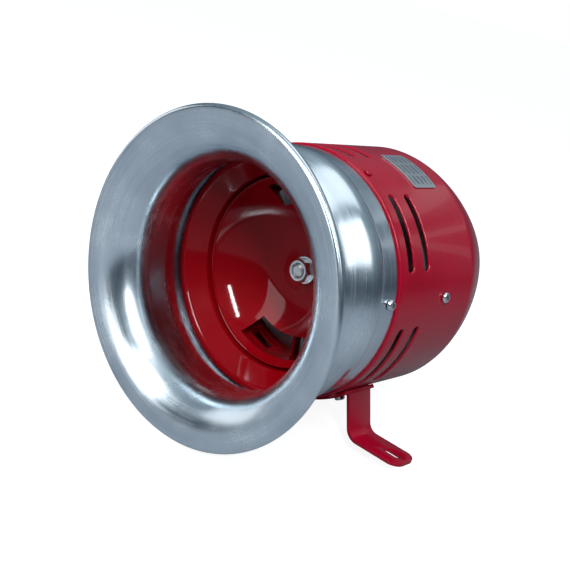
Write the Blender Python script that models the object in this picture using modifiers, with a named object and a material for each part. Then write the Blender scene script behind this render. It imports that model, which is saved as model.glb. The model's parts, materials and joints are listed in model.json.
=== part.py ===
"""Motor-driven alarm siren: a flared bell on a drum housing, a rotor on a motor shaft, and a strap foot.

Metres, +Z up. The siren's axis runs along +Y from the mouth to the rear, above the middle of the origin.
Stations along the axis ("y") are measured from the mouth plane towards the rear.
Angles around the axis start at +X and turn towards +Z.
"""

import math

import bmesh
import bpy
from mathutils import Matrix

# Driving dimensions -------------------------------------------------------------------------------
GAP = 0.0003                # between pieces that touch
SHEET = 0.0012              # bell and housing sheet
CLOCK = math.radians(8)     # how far the housing's pattern is turned about the axis

MOUTH_R = 0.095
MOUTH_BEAD_R = 0.0024
BELL_LENGTH = 0.024         # from the mouth to where the throat runs straight
THROAT_R = 0.0655
THROAT_END = 0.036
SHOULDER_Y = 0.0625
SKIRT_END = 0.0794
SPIGOT_R = 0.0740           # housing's front spigot, outside
STEP_Y = 0.0800             # where the spigot steps up to the drum
DRUM_R = 0.0770
DRUM_END = 0.160
TAIL_END = 0.250
TAIL_R = 0.030
TAIL_POWER = 1.25           # how full the tapered tail is
REAR_HOLE_R = 0.0180

LIP_Y = 0.056
LIP_R = 0.0688
CONE_END_Y = 0.0665
CONE_END_R = 0.0590
BOWL_FRONT_Y = 0.0685
BOWL_R = 0.0576
BOWL_FLOOR_Y = 0.0926
BOWL_POWER = 2.6            # how flat the bowl's floor is
BOWL_LIP = 0.0010
ROTOR_WALL = 0.0018
ROTOR_END = 0.102
HUB_R = 0.011
HUB_END = 0.1105
RUNNING_GAP = 0.0016
WINDOWS = 2
WINDOW_ARC = math.radians(58)
WINDOW_IN, WINDOW_OUT = 0.0405, 0.0530
VANES = 8
PORTS = 8
PORT_WIDTH = 0.018
PORT_FROM, PORT_TO = 0.085, 0.098
ROTOR_CLOCK = math.radians(5)

SLOT_ROWS = (0.0915, 0.1075)
SLOT_GROUPS = 6
SLOT_WIDTH = 0.0062
SLOT_ARC = math.radians(35)

SKIRT_SCREW_Y = 0.0734
BODY_SCREW_Y = 0.129
RIVET_Y = 0.0855
SCREW_HEAD = (0.0033, 0.0024)    # radius and height
SCREW_SHANK_R = 0.0019
RIVET_HEAD, RIVET_SHANK_R = (0.0026, 0.0012), 0.0010
RIVET_FLANGE = 0.0025       # how far the port ring's flange reaches past its rivets

SHAFT_R = 0.0050
THREAD_R = 0.0040
SHAFT_FRONT, SHAFT_REAR = 0.0835, 0.2345
SHAFT_CHAMFER = 0.0006
WASHER_R, WASHER_T = 0.0085, 0.0016
NUT_FLATS, NUT_T = 0.0130, 0.0062

BEARING_R, BEARING_T = 0.0110, 0.0080
FRONT_PLATE_Y = 0.1160
FRONT_SKIRT_END = 0.1380
PLATE_T = 0.0020
BOSS_WALL = 0.0025
VENTS = 6
VENT_R, VENT_CIRCLE_R = 0.009, 0.034
CORE_FROM, CORE_TO = 0.142, 0.184
CORE_R, YOKE_R = 0.055, 0.040
POLE_FACE_R = 0.0270
POLE_NECK_R = 0.0300
POLE_NECK_HALF = 0.0110
POLE_FACE_ARC = math.radians(100)
SHOE_TAPER = 0.85           # how much of the pole face's arc is full thickness
AIR_GAP = 0.0009
COIL_OVERHANG = 0.0085
COIL_WALL = 0.0065
ARMATURE_SLOTS = 12
SLOT_DEPTH = 0.0080
SLOT_OPEN = math.radians(12)
WINDING_FROM_CORE = 0.0085
COMMUTATOR_R, COMMUTATOR_RISER = 0.0120, 0.0015
COMMUTATOR_FROM, COMMUTATOR_TO = 0.1985, 0.2120
BRUSH_W, BRUSH_H, BRUSH_L = 0.0090, 0.0060, 0.0120
HOLDER_WALL = 0.0012
HOLDER_FROM, HOLDER_TO = 0.0150, 0.0345
REAR_PLATE_Y = 0.1925
REAR_PLATE_R = 0.0570
REAR_BOWL_R = 0.0400
REAR_FACE_Y = 0.2190
TIE_BOLT_CIRCLE_R = 0.0480
TIE_BOLT_R = 0.0020
TIE_HEAD_R, TIE_HEAD_T = 0.0040, 0.0028

COVER_FLANGE_R = 0.0265
COVER_BOSS_R = 0.0200
COVER_T = 0.0016
COVER_BOSS_H = 0.0060
COVER_EDGE_R = 0.0032
COVER_SCREW_X = 0.0232
COVER_HEAD, COVER_SHANK_R = (0.0026, 0.0015), 0.0013
GROMMET_R, GROMMET_BORE_R, GROMMET_LIP, GROMMET_GROOVE = 0.0055, 0.0030, 0.0015, 0.0010
BLOCK_SIZE = (0.0180, 0.0090, 0.0080)

LABEL_FROM, LABEL_TO = 0.1215, 0.1455
LABEL_ARC = (math.radians(59), math.radians(83))
LABEL_T = 0.0005

STRAP_T = 0.0024
STRAP_FRONT, STRAP_WIDTH = 0.0955, 0.022
SADDLE_MARGIN = 0.0040      # how far the saddle reaches past the strap, front and rear
SADDLE_END = math.radians(48)     # below the horizontal, on each side
FOOT_DROP = 0.0865          # axis to the underside of the feet
KNEE_X = 0.0620             # where the leg turns into the foot
FOOT_TIP_X = 0.0980
FOOT_CORNER_R = 0.0075
KNEE_BEND_R = 0.0070
FOOT_SLOT_X, FOOT_SLOT_LENGTH, FOOT_SLOT_WIDTH = 0.0868, 0.0125, 0.0050
SADDLE_BOLT_ARC = math.radians(60)

LARGE_STEPS, MEDIUM_STEPS, SMALL_STEPS, SCREW_STEPS = 32, 24, 20, 10

# Places worked out from them ----------------------------------------------------------------------
AXIS_Z = MOUTH_R
REAR_END = TAIL_END + GAP + COVER_T + COVER_BOSS_H
ORIGIN_Y = -(REAR_END + GROMMET_LIP) / 2
SADDLE_Y = STRAP_FRONT + STRAP_WIDTH / 2
BRUSH_Y = (COMMUTATOR_FROM + COMMUTATOR_TO) / 2 + COMMUTATOR_RISER / 2
SKIRT_R = SPIGOT_R + GAP + SHEET
SHOULDER_R = SKIRT_R + 0.0010
DRUM_INSIDE = DRUM_R - SHEET
HEX = math.cos(math.radians(30))    # a hexagon's flats over its corners
THIRDS = [CLOCK + math.radians(120) * i for i in range(3)]


def clear_scene():
    for obj in list(bpy.data.objects):
        bpy.data.objects.remove(obj, do_unlink=True)


def collection(name, parent=None):
    group = bpy.data.collections.new(name)
    (parent or bpy.context.scene.collection).children.link(group)
    return group


clear_scene()
PARTS = collection("alarm_siren")
CUTTERS = collection("cutters")


def material(name, colour, roughness, metallic):
    found = bpy.data.materials.get(name) or bpy.data.materials.new(name)
    found.use_nodes = True
    shader = found.node_tree.nodes["Principled BSDF"]
    shader.inputs["Base Color"].default_value = (*colour, 1)
    shader.inputs["Roughness"].default_value = roughness
    shader.inputs["Metallic"].default_value = metallic
    return found


ZINC = ("spun_zinc", (0.62, 0.66, 0.69), 0.28, 1.0)
RED = ("red_enamel", (0.40, 0.008, 0.022), 0.22, 0.0)
STEEL = ("bright_steel", (0.70, 0.71, 0.72), 0.25, 1.0)
DARK_STEEL = ("dark_steel", (0.20, 0.20, 0.21), 0.45, 1.0)
LAMINATION = ("lamination_steel", (0.30, 0.31, 0.33), 0.50, 1.0)
COPPER = ("enamelled_copper", (0.55, 0.20, 0.07), 0.35, 1.0)
CARBON = ("carbon", (0.03, 0.03, 0.03), 0.60, 0.0)
BRASS = ("brass", (0.60, 0.42, 0.14), 0.35, 1.0)
RUBBER = ("black_rubber", (0.015, 0.015, 0.015), 0.70, 0.0)
PLASTIC = ("white_plastic", (0.70, 0.69, 0.64), 0.50, 0.0)
ALUMINIUM = ("cast_aluminium", (0.55, 0.56, 0.57), 0.50, 1.0)
FOIL = ("label_foil", (0.66, 0.68, 0.68), 0.35, 0.8)


# Frames: the siren's own, whose Y is the axis, and one turned so that local Z is the axis -----------
def empty(name, matrix):
    frame = bpy.data.objects.new(name, None)
    PARTS.objects.link(frame)
    frame.matrix_world = matrix
    return frame


TO_MOUTH = Matrix.Translation((0, ORIGIN_Y, AXIS_Z))
ALONG_AXIS = Matrix.Rotation(math.radians(-90), 4, "X")
SIREN = empty("siren_frame", TO_MOUTH)
AXIS = empty("siren_axis", TO_MOUTH @ ALONG_AXIS)
ROTOR_AXIS = empty("rotor_axis", TO_MOUTH @ ALONG_AXIS @ Matrix.Rotation(-ROTOR_CLOCK, 4, "Z"))


def place(obj, parent, matrix=None):
    obj.parent = parent
    obj.matrix_local = matrix or Matrix.Identity(4)
    return obj


def new_object(name, data, parent, matrix=None, cutter=False):
    obj = bpy.data.objects.new(name, data)
    (CUTTERS if cutter else PARTS).objects.link(obj)
    if cutter:
        obj.hide_render = True
        obj.display_type = "WIRE"
    return place(obj, parent, matrix)


def finish(obj, look):
    """Gives the object its material, and smooth shading with its real edges kept."""
    obj.data.materials.append(material(f"{look[0]}_{obj.name}", *look[1:]))
    if obj.type == "MESH":
        obj.data.shade_smooth()
        obj.data.set_sharp_from_angle(angle=math.radians(35))
    return obj


def radial(angle, y):
    """A frame in the siren's own whose Z points outwards from the axis at that angle and station."""
    return Matrix.Translation((0, y, 0)) @ Matrix.Rotation(math.radians(90) - angle, 4, "Y")


# Makers -------------------------------------------------------------------------------------------
def turned(name, profile, steps, look=None, parent=AXIS, matrix=None, cutter=False):
    """A turned piece from (station, radius) points: a loop, or a line that starts and ends on the axis."""
    on_axis = profile[0][1] == 0 and profile[-1][1] == 0
    area = sum(r0 * z1 - r1 * z0 for (z0, r0), (z1, r1) in zip(profile, profile[1:] + profile[:1]))
    if area > 0:
        profile = profile[::-1]
    mesh = bpy.data.meshes.new(name)
    bm = bmesh.new()
    points = [bm.verts.new((r, 0, z)) for z, r in profile]
    for a, b in zip(points, points[1:]):
        bm.edges.new((a, b))
    if not on_axis:
        bm.edges.new((points[-1], points[0]))
    bm.to_mesh(mesh)
    bm.free()
    obj = new_object(name, mesh, parent, matrix, cutter)
    screw = obj.modifiers.new("turn", "SCREW")
    screw.axis = "Z"
    screw.steps = screw.render_steps = steps
    screw.use_merge_vertices = True
    screw.merge_threshold = 0.00001
    return finish(obj, look) if look else obj


def block(name, size, look=None, parent=SIREN, matrix=None, cutter=False):
    mesh = bpy.data.meshes.new(name)
    bm = bmesh.new()
    bmesh.ops.create_cube(bm, size=1, matrix=Matrix.Diagonal((*size, 1)))
    bm.to_mesh(mesh)
    bm.free()
    obj = new_object(name, mesh, parent, matrix, cutter)
    return finish(obj, look) if look else obj


def rod(name, radius, length, look=None, parent=SIREN, matrix=None, cutter=False, sides=24):
    """A cylinder along its local Z, from 0 to its length."""
    mesh = bpy.data.meshes.new(name)
    bm = bmesh.new()
    bmesh.ops.create_cone(bm, cap_ends=True, segments=sides, radius1=radius, radius2=radius, depth=length)
    bmesh.ops.translate(bm, verts=bm.verts, vec=(0, 0, length / 2))
    bm.to_mesh(mesh)
    bm.free()
    obj = new_object(name, mesh, parent, matrix, cutter)
    return finish(obj, look) if look else obj


def outline_mesh(name, outlines, depth):
    """The closed mesh of flat outlines, filled and extruded evenly about their plane."""
    curve = bpy.data.curves.new(name, "CURVE")
    curve.dimensions = "2D"
    curve.fill_mode = "BOTH"
    curve.extrude = depth / 2
    for outline in outlines:
        spline = curve.splines.new("POLY")
        spline.points.add(len(outline) - 1)
        for point, (x, z) in zip(spline.points, outline):
            point.co = (x, z, 0, 1)
        spline.use_cyclic_u = True
    drawn = bpy.data.objects.new(name + "_outline", curve)
    CUTTERS.objects.link(drawn)
    mesh = bpy.data.meshes.new_from_object(drawn)
    bpy.data.objects.remove(drawn)
    bm = bmesh.new()
    bm.from_mesh(mesh)
    bmesh.ops.remove_doubles(bm, verts=bm.verts, dist=0.000001)
    bmesh.ops.recalc_face_normals(bm, faces=bm.faces)
    bm.to_mesh(mesh)
    bm.free()
    return mesh


def extruded(name, outlines, near, far, look=None, parent=SIREN, cutter=False):
    """A plate whose outlines lie across the axis, as (x, z) points, between two stations."""
    mesh = outline_mesh(name, outlines, far - near)
    upright = Matrix.Translation((0, (near + far) / 2, 0)) @ Matrix.Rotation(math.radians(90), 4, "X")
    obj = new_object(name, mesh, parent, upright, cutter)
    return finish(obj, look) if look else obj


def combine(obj, others, operation="DIFFERENCE"):
    """One Boolean with a group of objects, which become cutters."""
    group = collection(f"{obj.name}_{operation.lower()}", CUTTERS)
    for other in others:
        for old in list(other.users_collection):
            old.objects.unlink(other)
        group.objects.link(other)
        other.hide_render = True
        other.display_type = "WIRE"
    modifier = obj.modifiers.new(operation.lower(), "BOOLEAN")
    modifier.operation = operation
    modifier.operand_type = "COLLECTION"
    modifier.collection = group
    return obj


def arc(radius, start, end, count, centre=(0, 0)):
    """Points along an arc, both ends included."""
    turn = (end - start) / count
    return [
        (centre[0] + radius * math.cos(start + turn * i), centre[1] + radius * math.sin(start + turn * i))
        for i in range(count + 1)
    ]


def ring_sector(inner, outer, start, end, count=6):
    return arc(outer, start, end, count) + arc(inner, end, start, count)


def drilled(name, radius, angle, y, inner, outer):
    """A cutter along a radius of the siren."""
    deep = radial(angle, y) @ Matrix.Translation((0, 0, inner))
    return rod(name, radius, outer - inner, matrix=deep, cutter=True, sides=12)


def pan_screw(name, frame, seat, depth, look=STEEL, head=SCREW_HEAD, shank=SCREW_SHANK_R):
    """A pan-head screw or rivet along a frame's Z. Its head, (radius, height), rests at the seat."""
    head_r, head_h = head
    rise = seat + GAP
    profile = [(rise - depth, 0), (rise - depth, shank), (rise, shank), (rise, head_r)]
    profile += [
        (rise + head_h * (0.35 + 0.65 * math.sin(t)), head_r * (0.72 + 0.28 * math.cos(t)))
        for t in (math.radians(a) for a in (0, 45, 90))
    ]
    return turned(name, profile[:-1] + [(rise + head_h, 0)], SCREW_STEPS, look, parent=SIREN, matrix=frame)


# Bell, housing and tail -----------------------------------------------------------------------------
def bell_line(offset):
    """(station, radius) of the bell's inside, moved outwards by an offset, from mouth to shoulder."""
    fall = MOUTH_R - MOUTH_BEAD_R - THROAT_R
    flare = [math.radians(a) for a in (0, 16, 32, 48, 64, 90)]
    line = [
        (BELL_LENGTH * (1 - math.cos(t)) + offset * math.cos(t),
         THROAT_R + fall * (1 - math.sin(t)) + offset * math.sin(t))
        for t in flare
    ]
    swell = SHOULDER_R - SHEET - THROAT_R
    for share in (0, 0.3, 0.5, 0.7, 0.88, 1):
        rise = 0.5 - 0.5 * math.cos(math.pi * share)
        line.append((THROAT_END + (SHOULDER_Y - THROAT_END) * share, THROAT_R + offset + swell * rise))
    return line


def screw_holes(name, y, inner, outer):
    return [
        drilled(f"{name}_hole_{i}", SCREW_SHANK_R + GAP, angle, y, inner, outer)
        for i, angle in enumerate(THIRDS)
    ]


def horn():
    skirt_in = SPIGOT_R + GAP
    bead_y, bead_r = MOUTH_BEAD_R, MOUTH_R - MOUTH_BEAD_R
    bead = arc(MOUTH_BEAD_R, math.radians(-50), math.radians(160), 6, (bead_y, bead_r))
    profile = bell_line(0)
    profile += [(SHOULDER_Y + GAP, skirt_in), (SKIRT_END, skirt_in)]
    profile += [(SKIRT_END, SKIRT_R), (SHOULDER_Y + 1.5 * SHEET, SKIRT_R)]
    profile += bell_line(SHEET)[:0:-1]
    profile += bead
    obj = turned("horn", profile, LARGE_STEPS, ZINC)
    combine(obj, screw_holes("horn", SKIRT_SCREW_Y, SPIGOT_R - SHEET, SKIRT_R + SHEET))


def tail_line(offset, count=6):
    """(station, radius) along the tapered tail, moved inwards by an offset."""
    line = []
    for i in range(count + 1):
        share = i / count
        radius = TAIL_R + (DRUM_R - TAIL_R) * (1 - share**TAIL_POWER)
        line.append((DRUM_END + (TAIL_END - offset - DRUM_END) * share, radius - offset))
    return line


def slot_cutters():
    cutters = []
    for group in range(SLOT_GROUPS):
        start = CLOCK + math.radians(360) * (group + 0.5) / SLOT_GROUPS - SLOT_ARC / 2
        shape = ring_sector(DRUM_R - 4 * SHEET, DRUM_R + SHEET, start, start + SLOT_ARC)
        for row, y in enumerate(SLOT_ROWS):
            near, far = y - SLOT_WIDTH / 2, y + SLOT_WIDTH / 2
            cutters.append(extruded(f"slot_{group}_{row}", [shape], near, far, cutter=True))
    return cutters


def housing():
    spigot_in = SPIGOT_R - SHEET
    profile = [(SHOULDER_Y + 2 * GAP, SPIGOT_R), (STEP_Y, SPIGOT_R), (STEP_Y + SHEET, DRUM_R)]
    profile += tail_line(0)
    profile += [(TAIL_END, REAR_HOLE_R), (TAIL_END - SHEET, REAR_HOLE_R)]
    profile += tail_line(SHEET)[::-1]
    profile += [(STEP_Y + 2 * SHEET, DRUM_INSIDE), (STEP_Y + SHEET, spigot_in)]
    profile += [(SHOULDER_Y + 2 * GAP, spigot_in)]
    obj = turned("housing", profile, LARGE_STEPS, RED)
    holes = screw_holes("spigot", SKIRT_SCREW_Y, spigot_in - SHEET, SPIGOT_R + SHEET)
    holes += screw_holes("drum", BODY_SCREW_Y, DRUM_INSIDE - SHEET, DRUM_R + SHEET)
    for i, angle in enumerate(THIRDS):
        at = angle + math.radians(60)
        holes.append(drilled(f"drum_rivet_hole_{i}", RIVET_SHANK_R + GAP, at, RIVET_Y,
                             DRUM_INSIDE - SHEET, DRUM_R + SHEET))
    for i, side in enumerate((-1, 1)):
        at = math.radians(-90) + side * (math.radians(90) - SADDLE_BOLT_ARC)
        holes.append(drilled(f"drum_saddle_hole_{i}", SCREW_SHANK_R + GAP, at, SADDLE_Y,
                             DRUM_INSIDE - SHEET, DRUM_R + SHEET))
    combine(obj, slot_cutters() + holes + cover_screw_holes("tail_screw_hole"))


def rear_cover():
    face = TAIL_END + GAP
    top = face + COVER_T + COVER_BOSS_H
    profile = [(face, COVER_FLANGE_R), (face, GROMMET_R - GROMMET_GROOVE)]
    profile += [(top, GROMMET_R - GROMMET_GROOVE)]
    profile += arc(COVER_EDGE_R, 0, math.radians(90), 4, (top - COVER_EDGE_R, COVER_BOSS_R - COVER_EDGE_R))
    profile += [(face + COVER_T, COVER_BOSS_R), (face + COVER_T, COVER_FLANGE_R)]
    obj = turned("rear_cover", profile, MEDIUM_STEPS, DARK_STEEL)
    combine(obj, cover_screw_holes("cover_screw_hole"))


# Throat, rotor and ports ----------------------------------------------------------------------------
def throat_ring():
    """The fixed red ring behind the bell: a lip, a cone to the rotor's mouth and a band for its screws."""
    band_r = SPIGOT_R - SHEET - GAP
    back = SKIRT_END - SHEET
    profile = [
        (back, band_r), (LIP_Y + SHEET, band_r), (LIP_Y, band_r - SHEET), (LIP_Y, LIP_R + SHEET / 2),
        (LIP_Y + SHEET / 2, LIP_R), (CONE_END_Y, CONE_END_R), (CONE_END_Y + 4 * SHEET, CONE_END_R),
        (CONE_END_Y + 4 * SHEET, CONE_END_R + SHEET), (CONE_END_Y + SHEET, CONE_END_R + SHEET),
        (LIP_Y + 4 * SHEET, LIP_R + SHEET / 2), (LIP_Y + 4 * SHEET, band_r - SHEET), (back, band_r - SHEET),
    ]
    obj = turned("throat_ring", profile, LARGE_STEPS, RED)
    combine(obj, screw_holes("throat", SKIRT_SCREW_Y, LIP_R - SHEET, SPIGOT_R))


def port_cutters(name, inner, outer):
    cutters = []
    for i in range(PORTS):
        angle = ROTOR_CLOCK + math.radians(360) * (i + 0.5) / PORTS
        size = (PORT_WIDTH, PORT_TO - PORT_FROM, outer - inner)
        middle = radial(angle, (PORT_FROM + PORT_TO) / 2) @ Matrix.Translation((0, 0, (inner + outer) / 2))
        cutters.append(block(f"{name}_{i}", size, matrix=middle, cutter=True))
    return cutters


def stator_port_ring():
    """The fixed ring of ports round the rotor, riveted inside the drum."""
    inner = BOWL_R + RUNNING_GAP
    outer = inner + SHEET
    seat = DRUM_INSIDE - GAP
    front = STEP_Y + 2 * SHEET
    profile = [
        (front, seat), (front, outer), (CONE_END_Y + 6 * SHEET, outer), (CONE_END_Y + 6 * SHEET, inner),
        (ROTOR_END, inner), (ROTOR_END, outer), (front + SHEET, outer), (front + SHEET, seat - SHEET),
        (RIVET_Y + RIVET_FLANGE, seat - SHEET), (RIVET_Y + RIVET_FLANGE, seat),
    ]
    obj = turned("stator_port_ring", profile, LARGE_STEPS, RED)
    holes = [
        drilled(f"port_rivet_hole_{i}", RIVET_SHANK_R + GAP, angle + math.radians(60), RIVET_Y,
                seat - 2 * SHEET, seat + SHEET)
        for i, angle in enumerate(THIRDS)
    ]
    combine(obj, port_cutters("stator_port", inner - SHEET, outer + SHEET) + holes)


def bowl_line(count=7):
    """(station, radius) of the rotor's dished front, from its hub to its edge."""
    edge = BOWL_R - ROTOR_WALL
    line = []
    for i in range(count + 1):
        share = math.sin(math.radians(90) * i / count)
        depth = 1 - share**BOWL_POWER
        line.append((BOWL_FRONT_Y + BOWL_LIP + (BOWL_FLOOR_Y - BOWL_FRONT_Y - BOWL_LIP) * depth,
                     HUB_R + (edge - HUB_R) * share))
    return line


def impeller():
    bore = SHAFT_R + GAP
    dish = bowl_line()
    back = [(y + ROTOR_WALL, r - ROTOR_WALL * 0.6) for y, r in dish[2:-1]]
    profile = [(BOWL_FLOOR_Y, bore)] + dish
    profile += [(BOWL_FRONT_Y, BOWL_R - ROTOR_WALL / 2), (BOWL_FRONT_Y + BOWL_LIP, BOWL_R)]
    profile += [(ROTOR_END, BOWL_R)]
    profile += [(ROTOR_END, BOWL_R - ROTOR_WALL), (dish[-1][0] + 3 * ROTOR_WALL, BOWL_R - ROTOR_WALL)]
    profile += back[::-1] + [(BOWL_FLOOR_Y + 2 * ROTOR_WALL, HUB_R), (HUB_END, HUB_R), (HUB_END, bore)]
    obj = turned("impeller", profile, LARGE_STEPS, RED, parent=ROTOR_AXIS)
    vanes = []
    length = BOWL_R - ROTOR_WALL / 2 - HUB_R + ROTOR_WALL
    for i in range(VANES):
        angle = ROTOR_CLOCK + math.radians(360) * i / VANES
        middle = radial(angle, (BOWL_FLOOR_Y + ROTOR_END) / 2)
        middle = middle @ Matrix.Translation((0, 0, HUB_R - ROTOR_WALL / 2 + length / 2))
        size = (ROTOR_WALL, ROTOR_END - BOWL_FLOOR_Y - 2 * ROTOR_WALL, length)
        vanes.append(block(f"vane_{i}", size, matrix=middle, cutter=True))
    windows = []
    depth = 2 * (BOWL_FLOOR_Y - BOWL_FRONT_Y)
    for i in range(WINDOWS):
        middle = ROTOR_CLOCK + math.radians(90) + math.radians(360) * i / WINDOWS
        shape = ring_sector(WINDOW_IN, WINDOW_OUT, middle - WINDOW_ARC / 2, middle + WINDOW_ARC / 2, 10)
        windows.append(extruded(f"window_{i}", [shape], BOWL_FLOOR_Y - depth, BOWL_FLOOR_Y, cutter=True))
    combine(obj, vanes, "UNION")
    combine(obj, windows + port_cutters("rotor_port", BOWL_R - 2 * ROTOR_WALL, BOWL_R + ROTOR_WALL))


def shaft():
    shoulder = BOWL_FLOOR_Y + GAP
    profile = [
        (SHAFT_FRONT, 0), (SHAFT_FRONT, THREAD_R - SHAFT_CHAMFER), (SHAFT_FRONT + SHAFT_CHAMFER, THREAD_R),
        (shoulder, THREAD_R), (shoulder, SHAFT_R), (SHAFT_REAR - SHAFT_CHAMFER, SHAFT_R),
        (SHAFT_REAR, SHAFT_R - SHAFT_CHAMFER), (SHAFT_REAR, 0),
    ]
    turned("shaft", profile, SMALL_STEPS, STEEL, parent=ROTOR_AXIS)


def washer_and_nut():
    bore = THREAD_R + GAP
    washer_front = BOWL_FLOOR_Y - GAP - WASHER_T
    profile = [(washer_front, bore), (washer_front, WASHER_R), (washer_front + WASHER_T, WASHER_R),
               (washer_front + WASHER_T, bore)]
    turned("shaft_washer", profile, SMALL_STEPS, STEEL, parent=ROTOR_AXIS)
    nut_back = washer_front - GAP
    corners = NUT_FLATS / 2 / HEX
    bore = (THREAD_R + GAP) / HEX
    chamfer = corners - NUT_FLATS / 2
    profile = [
        (nut_back - NUT_T, bore), (nut_back - NUT_T, NUT_FLATS / 2),
        (nut_back - NUT_T + chamfer / 2, corners),
        (nut_back, corners), (nut_back, bore),
    ]
    turned("shaft_nut", profile, 6, STEEL, parent=ROTOR_AXIS)


# Motor ----------------------------------------------------------------------------------------------
def bearing(name, front):
    bore = SHAFT_R + GAP
    profile = [(front, bore), (front, BEARING_R), (front + BEARING_T, BEARING_R), (front + BEARING_T, bore)]
    turned(name, profile, SMALL_STEPS, STEEL)


def motor_front_bracket():
    seat = DRUM_INSIDE - GAP
    pocket = BEARING_R + GAP
    boss = pocket + BOSS_WALL
    plate = FRONT_PLATE_Y + PLATE_T
    boss_end = FRONT_PLATE_Y + PLATE_T / 2 + GAP + BEARING_T
    profile = [
        (FRONT_PLATE_Y, seat), (FRONT_PLATE_Y, SHAFT_R + PLATE_T),
        (FRONT_PLATE_Y + PLATE_T / 2, SHAFT_R + PLATE_T),
        (FRONT_PLATE_Y + PLATE_T / 2, pocket), (boss_end, pocket), (boss_end, boss),
        (plate, boss), (plate, seat - PLATE_T), (FRONT_SKIRT_END, seat - PLATE_T), (FRONT_SKIRT_END, seat),
    ]
    obj = turned("motor_front_bracket", profile, LARGE_STEPS, ALUMINIUM)
    holes = screw_holes("bracket", BODY_SCREW_Y, seat - 2 * PLATE_T, seat + SHEET)
    for i in range(VENTS):
        angle = math.radians(360) * i / VENTS
        at = Matrix.Translation((VENT_CIRCLE_R * math.cos(angle), FRONT_PLATE_Y + 2 * PLATE_T,
                                 VENT_CIRCLE_R * math.sin(angle)))
        holes.append(rod(f"vent_{i}", VENT_R, 4 * PLATE_T, cutter=True, sides=20,
                         matrix=at @ Matrix.Rotation(math.radians(90), 4, "X")))
    combine(obj, holes + tie_holes("front_tie", FRONT_PLATE_Y - PLATE_T, plate + PLATE_T))


def tie_places():
    return [Matrix.Translation((0, 0, side * TIE_BOLT_CIRCLE_R)) for side in (-1, 1)]


def tie_holes(name, near, far):
    along = Matrix.Translation((0, near, 0)) @ ALONG_AXIS
    return [
        rod(f"{name}_{i}", TIE_BOLT_R + GAP, far - near, matrix=at @ along, cutter=True, sides=12)
        for i, at in enumerate(tie_places())
    ]


def stator_core():
    """Field laminations: a yoke with two poles, one each side, that close round the armature."""
    half_arc = POLE_FACE_ARC / 2
    neck = math.asin(POLE_NECK_HALF / YOKE_R)
    shoe_neck = math.asin(POLE_NECK_HALF / POLE_NECK_R)
    inside = []
    for side in (0, math.pi):
        inside += arc(POLE_NECK_R, side - half_arc * SHOE_TAPER, side - half_arc, 1)
        inside += arc(POLE_FACE_R, side - half_arc, side + half_arc, 14)
        inside += arc(POLE_NECK_R, side + half_arc, side + half_arc * SHOE_TAPER, 1)
        inside += arc(POLE_NECK_R, side + shoe_neck, side + shoe_neck, 1)[:1]
        inside += arc(YOKE_R, side + neck, side + math.pi - neck, 12)
        inside += arc(POLE_NECK_R, side + math.pi - shoe_neck, side + math.pi - shoe_neck, 1)[:1]
    outside = arc(CORE_R, 0, math.radians(360), 40)[:-1]
    obj = extruded("stator_core", [outside, inside], CORE_FROM, CORE_TO, LAMINATION)
    combine(obj, tie_holes("core_tie", CORE_FROM - PLATE_T, CORE_TO + PLATE_T))


def field_coil(name, side):
    """A racetrack of wire round one pole neck."""
    near = POLE_NECK_R + GAP
    far = math.sqrt(YOKE_R**2 - (POLE_NECK_HALF + COIL_WALL) ** 2) - 3 * GAP
    width = far - near
    middle = Matrix.Translation((side * (near + far) / 2, (CORE_FROM + CORE_TO) / 2, 0))
    hole = (width * 2, CORE_TO - CORE_FROM + 2 * GAP, 2 * POLE_NECK_HALF + 2 * GAP)
    size = (width, CORE_TO - CORE_FROM + 2 * COIL_OVERHANG, 2 * (POLE_NECK_HALF + COIL_WALL))
    obj = block(name, size, COPPER, matrix=middle)
    bevel = obj.modifiers.new("round", "BEVEL")
    bevel.width = COIL_WALL / 6
    bevel.segments = 1
    combine(obj, [block(f"{name}_window", hole, matrix=middle, cutter=True)])


def armature_core():
    radius = POLE_FACE_R - AIR_GAP
    outline = []
    for i in range(ARMATURE_SLOTS):
        start = math.radians(360) * i / ARMATURE_SLOTS
        tooth = start + math.radians(360) / ARMATURE_SLOTS - SLOT_OPEN
        outline += arc(radius, start, tooth, 2)
        outline += arc(radius - SLOT_DEPTH, tooth + SLOT_OPEN * 0.1, tooth + SLOT_OPEN * 0.9, 1)
    bore = arc(SHAFT_R + GAP, 0, math.radians(360), 24)[:-1]
    obj = extruded("armature_core", [outline, bore], CORE_FROM, CORE_TO, LAMINATION)
    obj.parent = ROTOR_AXIS
    obj.matrix_local = ALONG_AXIS.inverted() @ obj.matrix_basis


def armature_winding(name, near, far):
    bore = SHAFT_R + GAP
    outer = POLE_FACE_R - AIR_GAP - SLOT_DEPTH / 2
    fillet = (far - near) / 3
    profile = [(near, bore), (near, outer - fillet), (near + fillet, outer), (far - fillet, outer),
               (far, outer - fillet), (far, bore)]
    turned(name, profile, SMALL_STEPS, COPPER, parent=ROTOR_AXIS)


def commutator():
    bore = SHAFT_R + GAP
    riser = COMMUTATOR_RISER
    profile = [(COMMUTATOR_FROM, bore), (COMMUTATOR_FROM, COMMUTATOR_R + riser),
               (COMMUTATOR_FROM + riser, COMMUTATOR_R + riser), (COMMUTATOR_FROM + riser, COMMUTATOR_R),
               (COMMUTATOR_TO, COMMUTATOR_R), (COMMUTATOR_TO, bore)]
    turned("commutator", profile, MEDIUM_STEPS, COPPER, parent=ROTOR_AXIS)



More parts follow.
